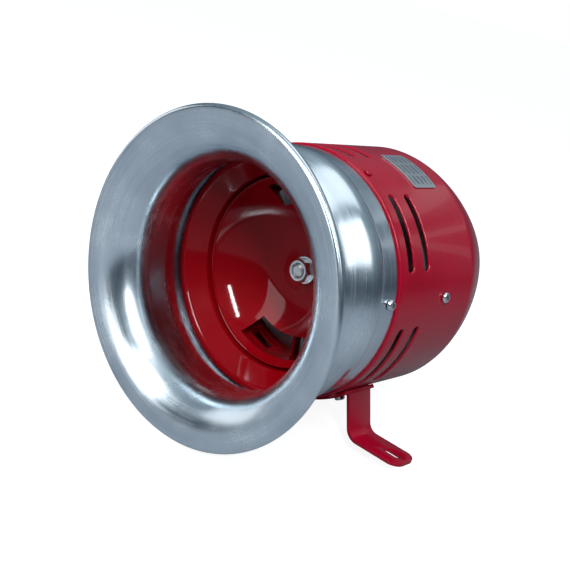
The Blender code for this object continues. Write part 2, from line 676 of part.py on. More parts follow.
def brush_set(word, side):
    """A carbon brush on the commutator, its brass holder and the spring behind it."""
    near = COMMUTATOR_R + GAP
    inside = (BRUSH_W + 2 * GAP, BRUSH_H + 2 * GAP)
    outside = [size + 2 * HOLDER_WALL for size in inside]
    brush_at = Matrix.Translation((side * (near + BRUSH_L / 2), BRUSH_Y, 0))
    block(f"carbon_brush_{word}", (BRUSH_L, BRUSH_W, BRUSH_H), CARBON, matrix=brush_at)
    length = HOLDER_TO - HOLDER_FROM
    holder_at = Matrix.Translation((side * (HOLDER_FROM + HOLDER_TO) / 2, BRUSH_Y, 0))
    holder = block(f"brush_holder_{word}", (length, *outside), BRASS, matrix=holder_at)
    bore_at = Matrix.Translation((side * ((HOLDER_FROM + HOLDER_TO) / 2 - HOLDER_WALL), BRUSH_Y, 0))
    combine(holder, [block(f"{word}_holder_bore", (length, *inside), matrix=bore_at, cutter=True)])
    spring_from = near + BRUSH_L + GAP + 0.0005
    spring_to = HOLDER_TO - HOLDER_WALL - GAP - 0.0005
    turns, per_turn, radius = 3, 8, BRUSH_H / 2 - 0.0008
    curve = bpy.data.curves.new(f"brush_spring_{word}", "CURVE")
    curve.dimensions = "3D"
    curve.bevel_depth = 0.00035
    curve.bevel_resolution = 1
    curve.use_fill_caps = True
    spline = curve.splines.new("POLY")
    spline.points.add(turns * per_turn)
    for i, point in enumerate(spline.points):
        angle = math.radians(360) * i / per_turn
        x = spring_from + (spring_to - spring_from) * i / (turns * per_turn)
        point.co = (side * x, radius * math.cos(angle), radius * math.sin(angle), 1)
    spring = new_object(f"brush_spring_{word}", curve, SIREN, Matrix.Translation((0, BRUSH_Y, 0)))
    spring.data.materials.append(material(f"{STEEL[0]}_{spring.name}", *STEEL[1:]))


def motor_rear_bracket():
    pocket = BEARING_R + GAP
    boss = pocket + BOSS_WALL
    pocket_from = REAR_FACE_Y + PLATE_T / 2
    boss_end = pocket_from + GAP + BEARING_T
    profile = [
        (REAR_PLATE_Y, REAR_PLATE_R), (REAR_PLATE_Y, REAR_BOWL_R - PLATE_T),
        (REAR_FACE_Y - PLATE_T, REAR_BOWL_R - 2 * PLATE_T), (REAR_FACE_Y - PLATE_T, SHAFT_R + PLATE_T),
        (pocket_from, SHAFT_R + PLATE_T), (pocket_from, pocket), (boss_end, pocket), (boss_end, boss),
        (REAR_FACE_Y, boss), (REAR_FACE_Y, REAR_BOWL_R - PLATE_T), (REAR_PLATE_Y + PLATE_T, REAR_BOWL_R),
        (REAR_PLATE_Y + PLATE_T, REAR_PLATE_R),
    ]
    obj = turned("motor_rear_bracket", profile, LARGE_STEPS, ALUMINIUM)
    combine(obj, tie_holes("rear_tie", REAR_PLATE_Y - PLATE_T, REAR_PLATE_Y + 2 * PLATE_T))


def tie_bolts():
    """Two long bolts that clamp the field core between the motor's brackets, with nuts at the front."""
    head = REAR_PLATE_Y + PLATE_T + GAP
    front = FRONT_PLATE_Y - GAP - TIE_HEAD_T - 0.001
    for word, at in zip(("lower", "upper"), tie_places()):
        profile = [(front, 0), (front, TIE_BOLT_R), (head, TIE_BOLT_R), (head, TIE_HEAD_R),
                   (head + TIE_HEAD_T, TIE_HEAD_R), (head + TIE_HEAD_T, 0)]
        turned(f"tie_bolt_{word}", profile, 12, DARK_STEEL, parent=SIREN, matrix=at @ ALONG_AXIS)
        bore = (TIE_BOLT_R + GAP) / HEX
        nut_from, nut_to = FRONT_PLATE_Y - GAP - TIE_HEAD_T, FRONT_PLATE_Y - GAP
        nut = [(nut_from, bore), (nut_from, TIE_HEAD_R), (nut_to, TIE_HEAD_R), (nut_to, bore)]
        turned(f"tie_nut_{word}", nut, 6, DARK_STEEL, parent=SIREN, matrix=at @ ALONG_AXIS)


# Fasteners, label, grommet and terminal block --------------------------------------------------------
def fasteners():
    for i, angle in enumerate(THIRDS, 1):
        pan_screw(f"horn_screw_{i}", radial(angle, SKIRT_SCREW_Y), SKIRT_R, SKIRT_R - SPIGOT_R + 3 * SHEET)
        pan_screw(f"body_screw_{i}", radial(angle, BODY_SCREW_Y), DRUM_R, PLATE_T + 3 * SHEET)
        pan_screw(f"stator_rivet_{i}", radial(angle + math.radians(60), RIVET_Y), DRUM_R, 3 * SHEET, RED,
                  RIVET_HEAD, RIVET_SHANK_R)
    for word, at in zip(("left", "right"), cover_screw_places()):
        pan_screw(f"cover_screw_{word}", at, TAIL_END + GAP + COVER_T, COVER_T + 2 * SHEET, STEEL,
                  COVER_HEAD, COVER_SHANK_R)


def cover_screw_places():
    return [Matrix.Translation((side * COVER_SCREW_X, 0, 0)) @ ALONG_AXIS for side in (-1, 1)]


def cover_screw_holes(name):
    from_tail = Matrix.Translation((0, 0, TAIL_END - 2 * SHEET))
    return [
        rod(f"{name}_{i}", COVER_SHANK_R + GAP, 2 * SHEET + 2 * COVER_T, matrix=at @ from_tail,
            cutter=True, sides=12)
        for i, at in enumerate(cover_screw_places())
    ]


def rating_label():
    inner = DRUM_R + GAP
    shape = ring_sector(inner, inner + LABEL_T, *LABEL_ARC, 10)
    extruded("rating_label", [shape], LABEL_FROM, LABEL_TO, FOIL)


def grommet_and_block():
    face = REAR_END
    neck = GROMMET_R - GROMMET_GROOVE - GAP
    back = TAIL_END
    profile = [
        (back - GROMMET_LIP, GROMMET_BORE_R), (back - GROMMET_LIP, GROMMET_R), (back, GROMMET_R),
        (back, neck), (face + GAP, neck), (face + GAP, GROMMET_R), (face + GROMMET_LIP, GROMMET_R),
        (face + GROMMET_LIP, GROMMET_BORE_R),
    ]
    turned("cable_grommet", profile, SMALL_STEPS, RUBBER)
    width, deep, high = BLOCK_SIZE
    below = GROMMET_R + 2 * GAP + high / 2
    middle = Matrix.Translation((0, back - deep / 2, -below))
    block("terminal_block", (width, deep, high), PLASTIC, matrix=middle)


# Foot bracket ---------------------------------------------------------------------------------------
def strap_outline():
    """One leg and foot in section, from the saddle down, out and back: the right-hand side."""
    inner = DRUM_R + GAP
    top_x, top_z = inner * math.cos(SADDLE_END), -inner * math.sin(SADDLE_END)
    floor = -FOOT_DROP
    lean = math.atan2(KNEE_X - top_x, top_z - floor)
    turn = math.radians(90) - lean
    back_r = KNEE_BEND_R + STRAP_T
    outer = arc(KNEE_BEND_R, math.radians(180) + lean, math.radians(270), 5,
                (KNEE_X + KNEE_BEND_R * math.tan(turn / 2), floor + STRAP_T + KNEE_BEND_R))
    under = arc(back_r, math.radians(180) + lean, math.radians(270), 5,
                (KNEE_X + KNEE_BEND_R * math.tan(turn / 2), floor + back_r))
    away = STRAP_T / math.cos(lean)
    start = outer[0]
    rise = (top_z - start[1]) / math.cos(lean)
    top_outer = (start[0] - rise * math.sin(lean), top_z)
    top_inner = (top_outer[0] - away, top_z)
    tip = [(FOOT_TIP_X, floor + STRAP_T), (FOOT_TIP_X, floor)]
    return [top_outer] + outer + tip + under[::-1] + [top_inner]


def foot_bracket():
    inner = DRUM_R + GAP
    saddle = ring_sector(inner, inner + STRAP_T, math.radians(180) + SADDLE_END,
                         math.radians(360) - SADDLE_END, 16)
    front, rear = STRAP_FRONT, STRAP_FRONT + STRAP_WIDTH
    obj = extruded("foot_bracket", [saddle], front - SADDLE_MARGIN, rear + SADDLE_MARGIN, RED)
    right = strap_outline()
    left = [(-x, z) for x, z in right[::-1]]
    legs = [extruded("leg_right", [right], front, rear, cutter=True),
            extruded("leg_left", [left], front, rear, cutter=True)]
    combine(obj, legs, "UNION")
    clear_r = inner / math.cos(math.pi / 96)
    length = STRAP_WIDTH + 4 * SADDLE_MARGIN
    drum = Matrix.Translation((0, front - 2 * SADDLE_MARGIN, 0)) @ ALONG_AXIS
    cuts = [rod("drum_clearance", clear_r, length, matrix=drum, cutter=True, sides=96)]
    for i, side in enumerate((-1, 1)):
        at = math.radians(-90) + side * (math.radians(90) - SADDLE_BOLT_ARC)
        cuts.append(drilled(f"saddle_hole_{i}", SCREW_SHANK_R + GAP, at, SADDLE_Y, inner - SHEET,
                            inner + 2 * STRAP_T))
        cuts.append(foot_slot(f"foot_slot_{i}", side))
        cuts += [foot_corner(f"foot_corner_{i}_{j}", side, end) for j, end in enumerate((-1, 1))]
    combine(obj, cuts)


def foot_slot(name, side):
    """A slot through one foot, made as a rounded plate lying flat."""
    half = (FOOT_SLOT_LENGTH - FOOT_SLOT_WIDTH) / 2
    outline = arc(FOOT_SLOT_WIDTH / 2, math.radians(-90), math.radians(90), 8, (half, 0))
    outline += arc(FOOT_SLOT_WIDTH / 2, math.radians(90), math.radians(270), 8, (-half, 0))
    mesh = outline_mesh(name, [outline], 4 * STRAP_T)
    at = Matrix.Translation((side * FOOT_SLOT_X, SADDLE_Y, -FOOT_DROP + STRAP_T / 2))
    return new_object(name, mesh, SIREN, at, cutter=True)


def foot_corner(name, side, end):
    """What is cut from a foot's tip to round one corner."""
    x, y = FOOT_TIP_X - FOOT_CORNER_R, STRAP_WIDTH / 2 - FOOT_CORNER_R
    beyond = FOOT_CORNER_R + SHEET
    outline = arc(FOOT_CORNER_R, 0, math.radians(90), 6, (x, y))
    outline += [(x, y + beyond), (x + beyond, y + beyond), (x + beyond, y)]
    outline = [(side * u, end * v) for u, v in outline]
    mesh = outline_mesh(name, [outline[:: side * end]], 4 * STRAP_T)
    at = Matrix.Translation((0, SADDLE_Y, -FOOT_DROP + STRAP_T / 2))
    return new_object(name, mesh, SIREN, at, cutter=True)


def saddle_bolts():
    seat = DRUM_R + GAP + STRAP_T
    for word, side in (("left", -1), ("right", 1)):
        at = math.radians(-90) + side * (math.radians(90) - SADDLE_BOLT_ARC)
        pan_screw(f"saddle_screw_{word}", radial(at, SADDLE_Y), seat, STRAP_T + 3 * SHEET)


horn()
housing()
rear_cover()
throat_ring()
stator_port_ring()
impeller()
shaft()
washer_and_nut()
motor_front_bracket()
bearing("front_bearing", FRONT_PLATE_Y + PLATE_T / 2 + GAP)
stator_core()
field_coil("field_coil_left", -1)
field_coil("field_coil_right", 1)
armature_core()
armature_winding("armature_winding_front", CORE_FROM - GAP - WINDING_FROM_CORE, CORE_FROM - GAP)
armature_winding("armature_winding_rear", CORE_TO + GAP, CORE_TO + GAP + WINDING_FROM_CORE)
commutator()
brush_set("left", -1)
brush_set("right", 1)
motor_rear_bracket()
bearing("rear_bearing", REAR_FACE_Y + PLATE_T / 2 + GAP)
tie_bolts()
fasteners()
rating_label()
grommet_and_block()
foot_bracket()
saddle_bolts()
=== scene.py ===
"""Looks of the motor siren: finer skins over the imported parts, finishes, studio light and the camera."""

import json
import math

import bmesh
import bpy
from mathutils import Matrix, Vector

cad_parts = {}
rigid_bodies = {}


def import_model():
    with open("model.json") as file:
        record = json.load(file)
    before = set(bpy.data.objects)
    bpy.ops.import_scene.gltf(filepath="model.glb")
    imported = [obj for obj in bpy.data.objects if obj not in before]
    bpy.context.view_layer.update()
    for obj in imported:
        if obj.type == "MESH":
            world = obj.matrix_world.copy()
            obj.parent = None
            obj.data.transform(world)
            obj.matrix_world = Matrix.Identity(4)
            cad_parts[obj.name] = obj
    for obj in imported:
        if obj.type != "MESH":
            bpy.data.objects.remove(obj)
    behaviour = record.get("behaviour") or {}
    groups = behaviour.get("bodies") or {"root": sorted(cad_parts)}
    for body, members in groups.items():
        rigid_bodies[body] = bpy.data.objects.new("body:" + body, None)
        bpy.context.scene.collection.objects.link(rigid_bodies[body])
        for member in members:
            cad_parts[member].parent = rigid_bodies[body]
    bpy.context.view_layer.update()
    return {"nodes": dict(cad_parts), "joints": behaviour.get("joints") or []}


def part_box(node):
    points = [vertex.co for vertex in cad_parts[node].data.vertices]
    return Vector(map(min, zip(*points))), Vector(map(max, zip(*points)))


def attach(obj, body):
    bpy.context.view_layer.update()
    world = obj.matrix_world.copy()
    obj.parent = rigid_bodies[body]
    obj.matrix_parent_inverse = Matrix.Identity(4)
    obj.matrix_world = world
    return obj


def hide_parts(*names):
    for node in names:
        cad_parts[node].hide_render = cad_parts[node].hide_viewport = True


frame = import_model()
NODES = frame["nodes"]

# Where things are, from the frame -----------------------------------------------------------------
HORN_LOW, HORN_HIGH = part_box("horn")
DRUM_LOW, DRUM_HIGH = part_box("housing")
MOUTH_R = (HORN_HIGH.x - HORN_LOW.x) / 2
MOUTH_Y = HORN_LOW.y
AXIS_Z = frame["joints"][0]["pos_m"][2]
DRUM_R = (DRUM_HIGH.x - DRUM_LOW.x) / 2

SHEET = 0.0012                  # bell and drum sheet
GAP = 0.0003                    # between pieces that touch
CLOCK = math.radians(8)         # how far the drum's pattern is turned about the axis
ROTOR_CLOCK = math.radians(5)   # and the rotor's
THIRDS = [CLOCK + math.radians(120) * i for i in range(3)]
ON_AXIS = 1e-7                  # a radius below this is the axis itself


# Meshes --------------------------------------------------------------------------------------------
def link(obj):
    bpy.context.scene.collection.objects.link(obj)
    return obj


def on_axis(radius, angle, station):
    """World point at a radius and an angle round the siren's axis, a station behind the mouth."""
    return Vector((radius * math.cos(angle), MOUTH_Y + station, AXIS_Z + radius * math.sin(angle)))


def radial(angle, station):
    """A frame whose Z points out from the siren's axis and whose Y runs along it."""
    out = Vector((math.cos(angle), 0, math.sin(angle)))
    along = Vector((0, 1, 0))
    side = along.cross(out)
    at = on_axis(0, 0, station)
    return Matrix.Translation(at) @ Matrix((side, along, out)).transposed().to_4x4()


def piece(name, mesh, material, body="siren_body", smooth=math.radians(35), bevel=0):
    """An object with one material that rides on a body, with its edges bevelled if asked."""
    obj = link(bpy.data.objects.new(name, mesh))
    mesh.materials.clear()
    mesh.materials.append(material)
    if bevel:
        edge = obj.modifiers.new("edges", "BEVEL")
        edge.width = bevel
        edge.segments = 2
        edge.limit_method = "ANGLE"
        edge.angle_limit = math.radians(40)
        edge.harden_normals = False
        edge.use_clamp_overlap = True
        apply_modifiers(obj)
    auto_smooth(obj, smooth)
    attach(obj, body)
    return obj


def auto_smooth(obj, angle):
    """Smooth faces, with every edge sharper than the angle marked sharp."""
    mesh = obj.data
    bm = bmesh.new()
    bm.from_mesh(mesh)
    for face in bm.faces:
        face.smooth = True
    for edge in bm.edges:
        sharp = len(edge.link_faces) == 2 and edge.calc_face_angle(0) > angle
        edge.smooth = not sharp
    bm.to_mesh(mesh)
    bm.free()


def apply_modifiers(obj):
    """The object's mesh becomes what its modifiers make of it."""
    bpy.context.view_layer.update()
    graph = bpy.context.evaluated_depsgraph_get()
    mesh = bpy.data.meshes.new_from_object(obj.evaluated_get(graph))
    obj.modifiers.clear()
    old = obj.data
    obj.data = mesh
    bpy.data.meshes.remove(old)


def turned(name, profile, steps):
    """A closed (station, radius) line swept round the siren's axis."""
    bm = bmesh.new()
    rings = []
    for station, radius in profile:
        if radius < ON_AXIS:
            rings.append([bm.verts.new(on_axis(0, 0, station))])
            continue
        rings.append([bm.verts.new(on_axis(radius, 2 * math.pi * i / steps, station)) for i in range(steps)])
    for near, far in zip(rings, rings[1:] + rings[:1]):
        for i in range(steps):
            j = (i + 1) % steps
            if len(near) == 1 and len(far) == 1:
                continue
            if len(near) == 1:
                bm.faces.new((near[0], far[i], far[j]))
            elif len(far) == 1:
                bm.faces.new((near[i], far[0], near[j]))
            else:
                bm.faces.new((near[i], far[i], far[j], near[j]))
    bmesh.ops.recalc_face_normals(bm, faces=bm.faces)
    mesh = bpy.data.meshes.new(name)
    bm.to_mesh(mesh)
    bm.free()
    return mesh


def prism(name, outline, near, far):
    """A flat outline of (x, z) points, as world places about the axis, extruded between two stations."""
    bm = bmesh.new()
    ends = []
    for station in (near, far):
        ends.append([bm.verts.new((x, MOUTH_Y + station, AXIS_Z + z)) for x, z in outline])
    bm.faces.new(ends[0])
    bm.faces.new(ends[1][::-1])
    for i in range(len(outline)):
        j = (i + 1) % len(outline)
        bm.faces.new((ends[0][i], ends[1][i], ends[1][j], ends[0][j]))
    bmesh.ops.recalc_face_normals(bm, faces=bm.faces)
    mesh = bpy.data.meshes.new(name)
    bm.to_mesh(mesh)
    bm.free()
    return mesh


def plate(name, outline, depth, matrix):
    """An (x, y) outline extruded along the frame's Z, centred on it."""
    bm = bmesh.new()
    ends = []
    for z in (-depth / 2, depth / 2):
        ends.append([bm.verts.new(matrix @ Vector((x, y, z))) for x, y in outline])
    bm.faces.new(ends[0][::-1])
    bm.faces.new(ends[1])
    for i in range(len(outline)):
        j = (i + 1) % len(outline)
        bm.faces.new((ends[0][i], ends[0][j], ends[1][j], ends[1][i]))
    bmesh.ops.recalc_face_normals(bm, faces=bm.faces)
    mesh = bpy.data.meshes.new(name)
    bm.to_mesh(mesh)
    bm.free()
    return mesh


def arc(radius, start, end, count, centre=(0.0, 0.0)):
    """Points along an arc."""
    turn = (end - start) / count
    return [
        (centre[0] + radius * math.cos(start + turn * i), centre[1] + radius * math.sin(start + turn * i))
        for i in range(count + 1)
    ]


def cut(mesh, cutters, operation="DIFFERENCE"):
    """The mesh less the cutter meshes, or joined to them."""
    base = link(bpy.data.objects.new("cut_base", mesh))
    group = bpy.data.collections.new("cut_group")
    bpy.context.scene.collection.children.link(group)
    for cutter in cutters:
        group.objects.link(bpy.data.objects.new("cutter", cutter))
    step = base.modifiers.new("cut", "BOOLEAN")
    step.operation = operation
    step.operand_type = "COLLECTION"
    step.collection = group
    step.solver = "EXACT"
    bpy.context.view_layer.update()
    graph = bpy.context.evaluated_depsgraph_get()
    result = bpy.data.meshes.new_from_object(base.evaluated_get(graph))
    for obj in list(group.objects):
        bpy.data.objects.remove(obj)
    bpy.data.collections.remove(group)
    bpy.data.objects.remove(base)
    return result


# Materials -----------------------------------------------------------------------------------------
class Nodes:
    """Short calls for building one material's nodes."""

    def __init__(self, name):
        self.material = bpy.data.materials.new(name)
        self.material.use_nodes = True
        self.tree = self.material.node_tree
        self.shader = self.tree.nodes["Principled BSDF"]

    def add(self, kind, **settings):
        node = self.tree.nodes.new(kind)
        for key, value in settings.items():
            setattr(node, key, value)
        return node

    def join(self, source, target):
        self.tree.links.new(source, target)

    def math(self, operation, a, b=None):
        node = self.add("ShaderNodeMath", operation=operation)
        for socket, value in zip(node.inputs, (a, b)):
            if value is None:
                continue
            if isinstance(value, (int, float)):
                socket.default_value = value
            else:
                self.join(value, socket)
        return node.outputs[0]

    def place(self):
        """(x, station, z about the axis) of the point at rest."""
        coords = self.add("ShaderNodeTexCoord")
        shift = self.add("ShaderNodeVectorMath", operation="SUBTRACT")
        shift.inputs[1].default_value = (0, MOUTH_Y, AXIS_Z)
        self.join(coords.outputs["Object"], shift.inputs[0])
        return shift.outputs[0]

    def turned_place(self, place):
        """(radius, station, angle) sockets of a place."""
        split = self.add("ShaderNodeSeparateXYZ")
        self.join(place, split.inputs[0])
        x, y, z = split.outputs
        radius = self.math("SQRT", self.math("ADD", self.math("MULTIPLY", x, x), self.math("MULTIPLY", z, z)))
        return radius, y, self.math("ARCTAN2", z, x)

    def vector(self, *parts):
        node = self.add("ShaderNodeCombineXYZ")
        for socket, value in zip(node.inputs, parts):
            if isinstance(value, (int, float)):
                socket.default_value = value
            else:
                self.join(value, socket)
        return node.outputs[0]

    def noise(self, vector, scale, detail=3.0, roughness=0.5):
        node = self.add("ShaderNodeTexNoise")
        node.inputs["Scale"].default_value = scale
        node.inputs["Detail"].default_value = detail
        node.inputs["Roughness"].default_value = roughness
        self.join(vector, node.inputs["Vector"])
        return node.outputs["Fac"]

    def spread(self, value, low, high, to_low, to_high):
        node = self.add("ShaderNodeMapRange")
        node.clamp = True
        for socket, number in zip(node.inputs[1:5], (low, high, to_low, to_high)):
            socket.default_value = number
        self.join(value, node.inputs[0])
        return node.outputs[0]

    def ramp(self, value, stops):
        node = self.add("ShaderNodeValToRGB")
        elements = node.color_ramp.elements
        while len(elements) < len(stops):
            elements.new(0.5)
        for element, (position, colour) in zip(elements, stops):
            element.position = position
            element.color = (*colour, 1)
        self.join(value, node.inputs[0])
        return node.outputs[0]

    def bump(self, height, strength, distance, normal=None):
        node = self.add("ShaderNodeBump")
        node.inputs["Strength"].default_value = strength
        node.inputs["Distance"].default_value = distance
        self.join(height, node.inputs["Height"])
        if normal is not None:
            self.join(normal, node.inputs["Normal"])
        return node.outputs[0]

    def set(self, **values):
        for key, value in values.items():
            socket = self.shader.inputs[key.replace("_", " ")]
            if isinstance(value, (int, float, tuple)):
                socket.default_value = value
            else:
                self.join(value, socket)
        return self.material


def spun_zinc():
    """Bright spun sheet: fine rings from the spinning tool, faint cloudy plating and rubbed patches."""
    n = Nodes("spun_zinc")
    place = n.place()
    radius, station, angle = n.turned_place(place)
    across = n.math("ADD", radius, n.math("MULTIPLY", station, 0.7))
    rings = n.vector(n.math("MULTIPLY", across, 900), n.math("MULTIPLY", angle, 0.9), 0)
    ring_noise = n.noise(rings, 1.0, 4.0, 0.62)
    broad = n.noise(n.vector(n.math("MULTIPLY", across, 160), n.math("MULTIPLY", angle, 0.35), 3), 1.0, 2.0)
    clouds = n.noise(place, 28.0, 3.0, 0.55)
    grain = n.noise(place, 2600.0, 2.0, 0.5)
    mix = n.math("ADD", n.math("MULTIPLY", clouds, 0.62), n.math("MULTIPLY", ring_noise, 0.38))
    colour = n.ramp(mix, [(0.30, (0.46, 0.54, 0.60)), (0.52, (0.62, 0.70, 0.76)), (0.72, (0.76, 0.84, 0.89))])
    rough = n.math("ADD", n.spread(ring_noise, 0.3, 0.7, 0.15, 0.24), n.spread(clouds, 0.35, 0.7, 0.0, 0.10))
    relief = n.math("ADD", n.math("MULTIPLY", ring_noise, 0.7), n.math("MULTIPLY", grain, 0.3))
    fine = n.bump(relief, 0.10, 0.0002)
    normal = n.bump(broad, 0.10, 0.0006, fine)
    return n.set(Base_Color=colour, Roughness=rough, Normal=normal, Metallic=1.0, Specular_IOR_Level=0.5)


def red_enamel(name, deep, bright, base_rough=0.17, peel=0.12, gloss=0.25, coat=0.15):
    """Sprayed gloss enamel: slight orange peel, a few dust nibs and a faint change of depth."""
    n = Nodes(name)
    place = n.place()
    clouds = n.noise(place, 22.0, 3.0, 0.5)
    skin = n.noise(place, 420.0, 2.0, 0.5)
    waves = n.noise(place, 120.0, 2.0, 0.5)
    dust = n.add("ShaderNodeTexVoronoi", feature="F1")
    dust.inputs["Scale"].default_value = 230.0
    n.join(place, dust.inputs["Vector"])
    nibs = n.spread(dust.outputs["Distance"], 0.02, 0.09, 1.0, 0.0)
    colour = n.ramp(clouds, [(0.3, deep), (0.7, bright)])
    relief = n.math("ADD", n.math("MULTIPLY", skin, 0.5), n.math("MULTIPLY", nibs, 0.25))
    fine = n.bump(relief, peel, 0.00012)
    normal = n.bump(waves, peel, 0.0004, fine)
    rough = n.spread(clouds, 0.3, 0.7, base_rough, base_rough + 0.07)
    return n.set(Base_Color=colour, Roughness=rough, Normal=normal, Coat_Weight=coat,
                 Coat_Roughness=0.03, Specular_IOR_Level=gloss)


def bare_metal(name, dark, light, rough, scale=300.0, bump=0.1):
    n = Nodes(name)
    place = n.place()
    clouds = n.noise(place, scale * 0.25, 3.0, 0.6)
    grain = n.noise(place, scale * 6, 2.0, 0.5)
    colour = n.ramp(clouds, [(0.3, dark), (0.7, light)])
    return n.set(Base_Color=colour, Roughness=n.spread(clouds, 0.3, 0.7, rough - 0.05, rough + 0.08),
                 Normal=n.bump(grain, bump, 0.0001), Metallic=1.0)


def plain(name, dark, light, rough, scale=200.0):
    n = Nodes(name)
    place = n.place()
    clouds = n.noise(place, scale, 3.0, 0.6)
    return n.set(Base_Color=n.ramp(clouds, [(0.3, dark), (0.7, light)]),
                 Roughness=n.spread(clouds, 0.3, 0.7, rough - 0.06, rough + 0.06),
                 Normal=n.bump(clouds, 0.2, 0.0002))


def laminations():
    """Stacked sheets: lines across the axis, half a millimetre apart."""
    n = Nodes("laminations")
    place = n.place()
    _, station, _ = n.turned_place(place)
    lines = n.math("PINGPONG", station, 0.00035)
    edge = n.spread(lines, 0.0, 0.00035, 0.0, 1.0)
    clouds = n.noise(place, 90.0)
    colour = n.ramp(n.math("MULTIPLY", edge, clouds), [(0.1, (0.07, 0.07, 0.08)), (0.6, (0.32, 0.33, 0.35))])
    return n.set(Base_Color=colour, Roughness=0.5, Normal=n.bump(edge, 0.5, 0.0002), Metallic=0.9)


def windings():
    """Turns of enamelled copper wire laid round the coil."""
    n = Nodes("windings")
    place = n.place()
    radius, station, _ = n.turned_place(place)
    turns = n.math("PINGPONG", n.math("ADD", radius, n.math("MULTIPLY", station, 0.3)), 0.0004)
    wire = n.spread(turns, 0.0, 0.0004, 0.0, 1.0)
    colour = n.ramp(wire, [(0.1, (0.16, 0.04, 0.01)), (0.7, (0.62, 0.24, 0.08))])
    return n.set(Base_Color=colour, Roughness=0.32, Normal=n.bump(wire, 0.7, 0.0003), Metallic=0.9)


ZINC = spun_zinc()
RED = red_enamel("red_enamel", (0.290, 0.0008, 0.0140), (0.345, 0.0016, 0.0200))
INNER_RED = red_enamel("red_enamel_inside", (0.180, 0.0006, 0.0028), (0.220, 0.0012, 0.0045),
                       base_rough=0.03, peel=0.02, gloss=0.12, coat=0.12)
STEEL = bare_metal("bright_steel", (0.58, 0.60, 0.62), (0.78, 0.79, 0.80), 0.20)
THREAD = bare_metal("thread_steel", (0.40, 0.41, 0.42), (0.62, 0.63, 0.64), 0.28)
DARK = bare_metal("dark_steel", (0.10, 0.095, 0.09), (0.20, 0.19, 0.18), 0.42)
CAST = bare_metal("cast_aluminium", (0.42, 0.43, 0.44), (0.58, 0.59, 0.60), 0.50, 420.0, 0.4)
BRASS = bare_metal("brass", (0.50, 0.34, 0.11), (0.68, 0.48, 0.17), 0.33)
LAMINATION = laminations()
COPPER = windings()
CARBON = plain("carbon", (0.015, 0.015, 0.015), (0.05, 0.05, 0.05), 0.6)
RUBBER = plain("black_rubber", (0.010, 0.010, 0.010), (0.028, 0.027, 0.026), 0.68)
PLASTIC = plain("white_plastic", (0.62, 0.61, 0.56), (0.74, 0.73, 0.68), 0.45)
COVER = plain("cover_paint", (0.045, 0.035, 0.036), (0.085, 0.065, 0.066), 0.34)


# Bell ----------------------------------------------------------------------------------------------
BEAD_R = 0.0024
BELL_LENGTH = 0.024
THROAT_R, THROAT_END = 0.0655, 0.036     # the straight throat, and where it ends
SHOULDER_Y, SHOULDER_R = 0.0625, 0.0765
SKIRT_END, SKIRT_R = 0.0794, 0.0755
SPIGOT_R = 0.0740
FLARE_STEPS, SWELL_STEPS = 26, 18


def bell_line(offset):
    """The bell's (station, radius) line from the mouth to the shoulder, moved out by the offset."""
    fall = MOUTH_R - BEAD_R - THROAT_R
    line = []
    for i in range(FLARE_STEPS + 1):
        t = math.radians(90) * i / FLARE_STEPS
        line.append((BELL_LENGTH * (1 - math.cos(t)) + offset * math.cos(t),
                     THROAT_R + fall * (1 - math.sin(t)) + offset * math.sin(t)))
    swell = SHOULDER_R - SHEET - THROAT_R
    for i in range(SWELL_STEPS + 1):
        share = i / SWELL_STEPS
        rise = 0.5 - 0.5 * math.cos(math.pi * share)
        line.append((THROAT_END + (SHOULDER_Y - THROAT_END) * share, THROAT_R + offset + swell * rise))
    return line


def bell():
    skirt_in = SPIGOT_R + GAP
    profile = bell_line(0)
    profile += [(SHOULDER_Y + GAP, skirt_in), (SKIRT_END - 0.0002, skirt_in), (SKIRT_END, skirt_in + 0.0002)]
    profile += [(SKIRT_END, SKIRT_R - 0.0003), (SKIRT_END - 0.0003, SKIRT_R)]
    profile += [(SHOULDER_Y + 0.0040, SKIRT_R), (SHOULDER_Y + 0.0024, SKIRT_R)]
    profile += [(SHOULDER_Y + 0.0019, SKIRT_R + 0.0002), (SHOULDER_Y + 0.0016, SKIRT_R + 0.0006)]
    profile += [(SHOULDER_Y + 0.0011, SHOULDER_R - 0.00015), (SHOULDER_Y + 0.0005, SHOULDER_R)]
    profile += bell_line(SHEET)[:0:-1]
    # The bead takes the place of the sheet's outside next to the mouth.
    profile = [(y, r) for y, r in profile if not (r > MOUTH_R - 2.2 * BEAD_R and SHEET < y < 0.0042)]
    profile += arc(BEAD_R, math.radians(-62), math.radians(176), 22, (BEAD_R, MOUTH_R - BEAD_R))
    obj = piece("bell_skin", turned("bell_skin", profile, 192), ZINC)
    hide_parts("horn")


# Drum ----------------------------------------------------------------------------------------------
STEP_Y, STEP_EDGE_R = 0.0800, 0.0009
DRUM_END, TAIL_END, TAIL_R, TAIL_POWER = 0.160, 0.250, 0.030, 1.25
REAR_HOLE_R = 0.0180
SLOT_ROWS, SLOT_GROUPS, SLOT_WIDTH, SLOT_ARC = (0.0915, 0.1075), 6, 0.0062, math.radians(35)
SKIRT_SCREW_Y, BODY_SCREW_Y, RIVET_Y = 0.0734, 0.129, 0.0855


def tail_line(offset, count=30):
    """The tapered tail's (station, radius) line, moved in by the offset."""
    line = []
    for i in range(count + 1):
        share = i / count
        radius = TAIL_R + (DRUM_R - TAIL_R) * (1 - share**TAIL_POWER)
        line.append((DRUM_END + (TAIL_END - offset - DRUM_END) * share, radius - offset))
    return line


def slot_columns(length, width, ends=7, straight=26):
    """(place along, half width) of a round-ended slot, from one tip to the other."""
    half, radius = (length - width) / 2, width / 2
    turns = [math.radians(90) * i / ends for i in range(ends + 1)]
    right = [(half + radius * math.cos(a), radius * math.sin(a)) for a in turns]
    middle = [(half - 2 * half * i / straight, radius) for i in range(1, straight)]
    return right + middle + [(-x, h) for x, h in right[::-1]]


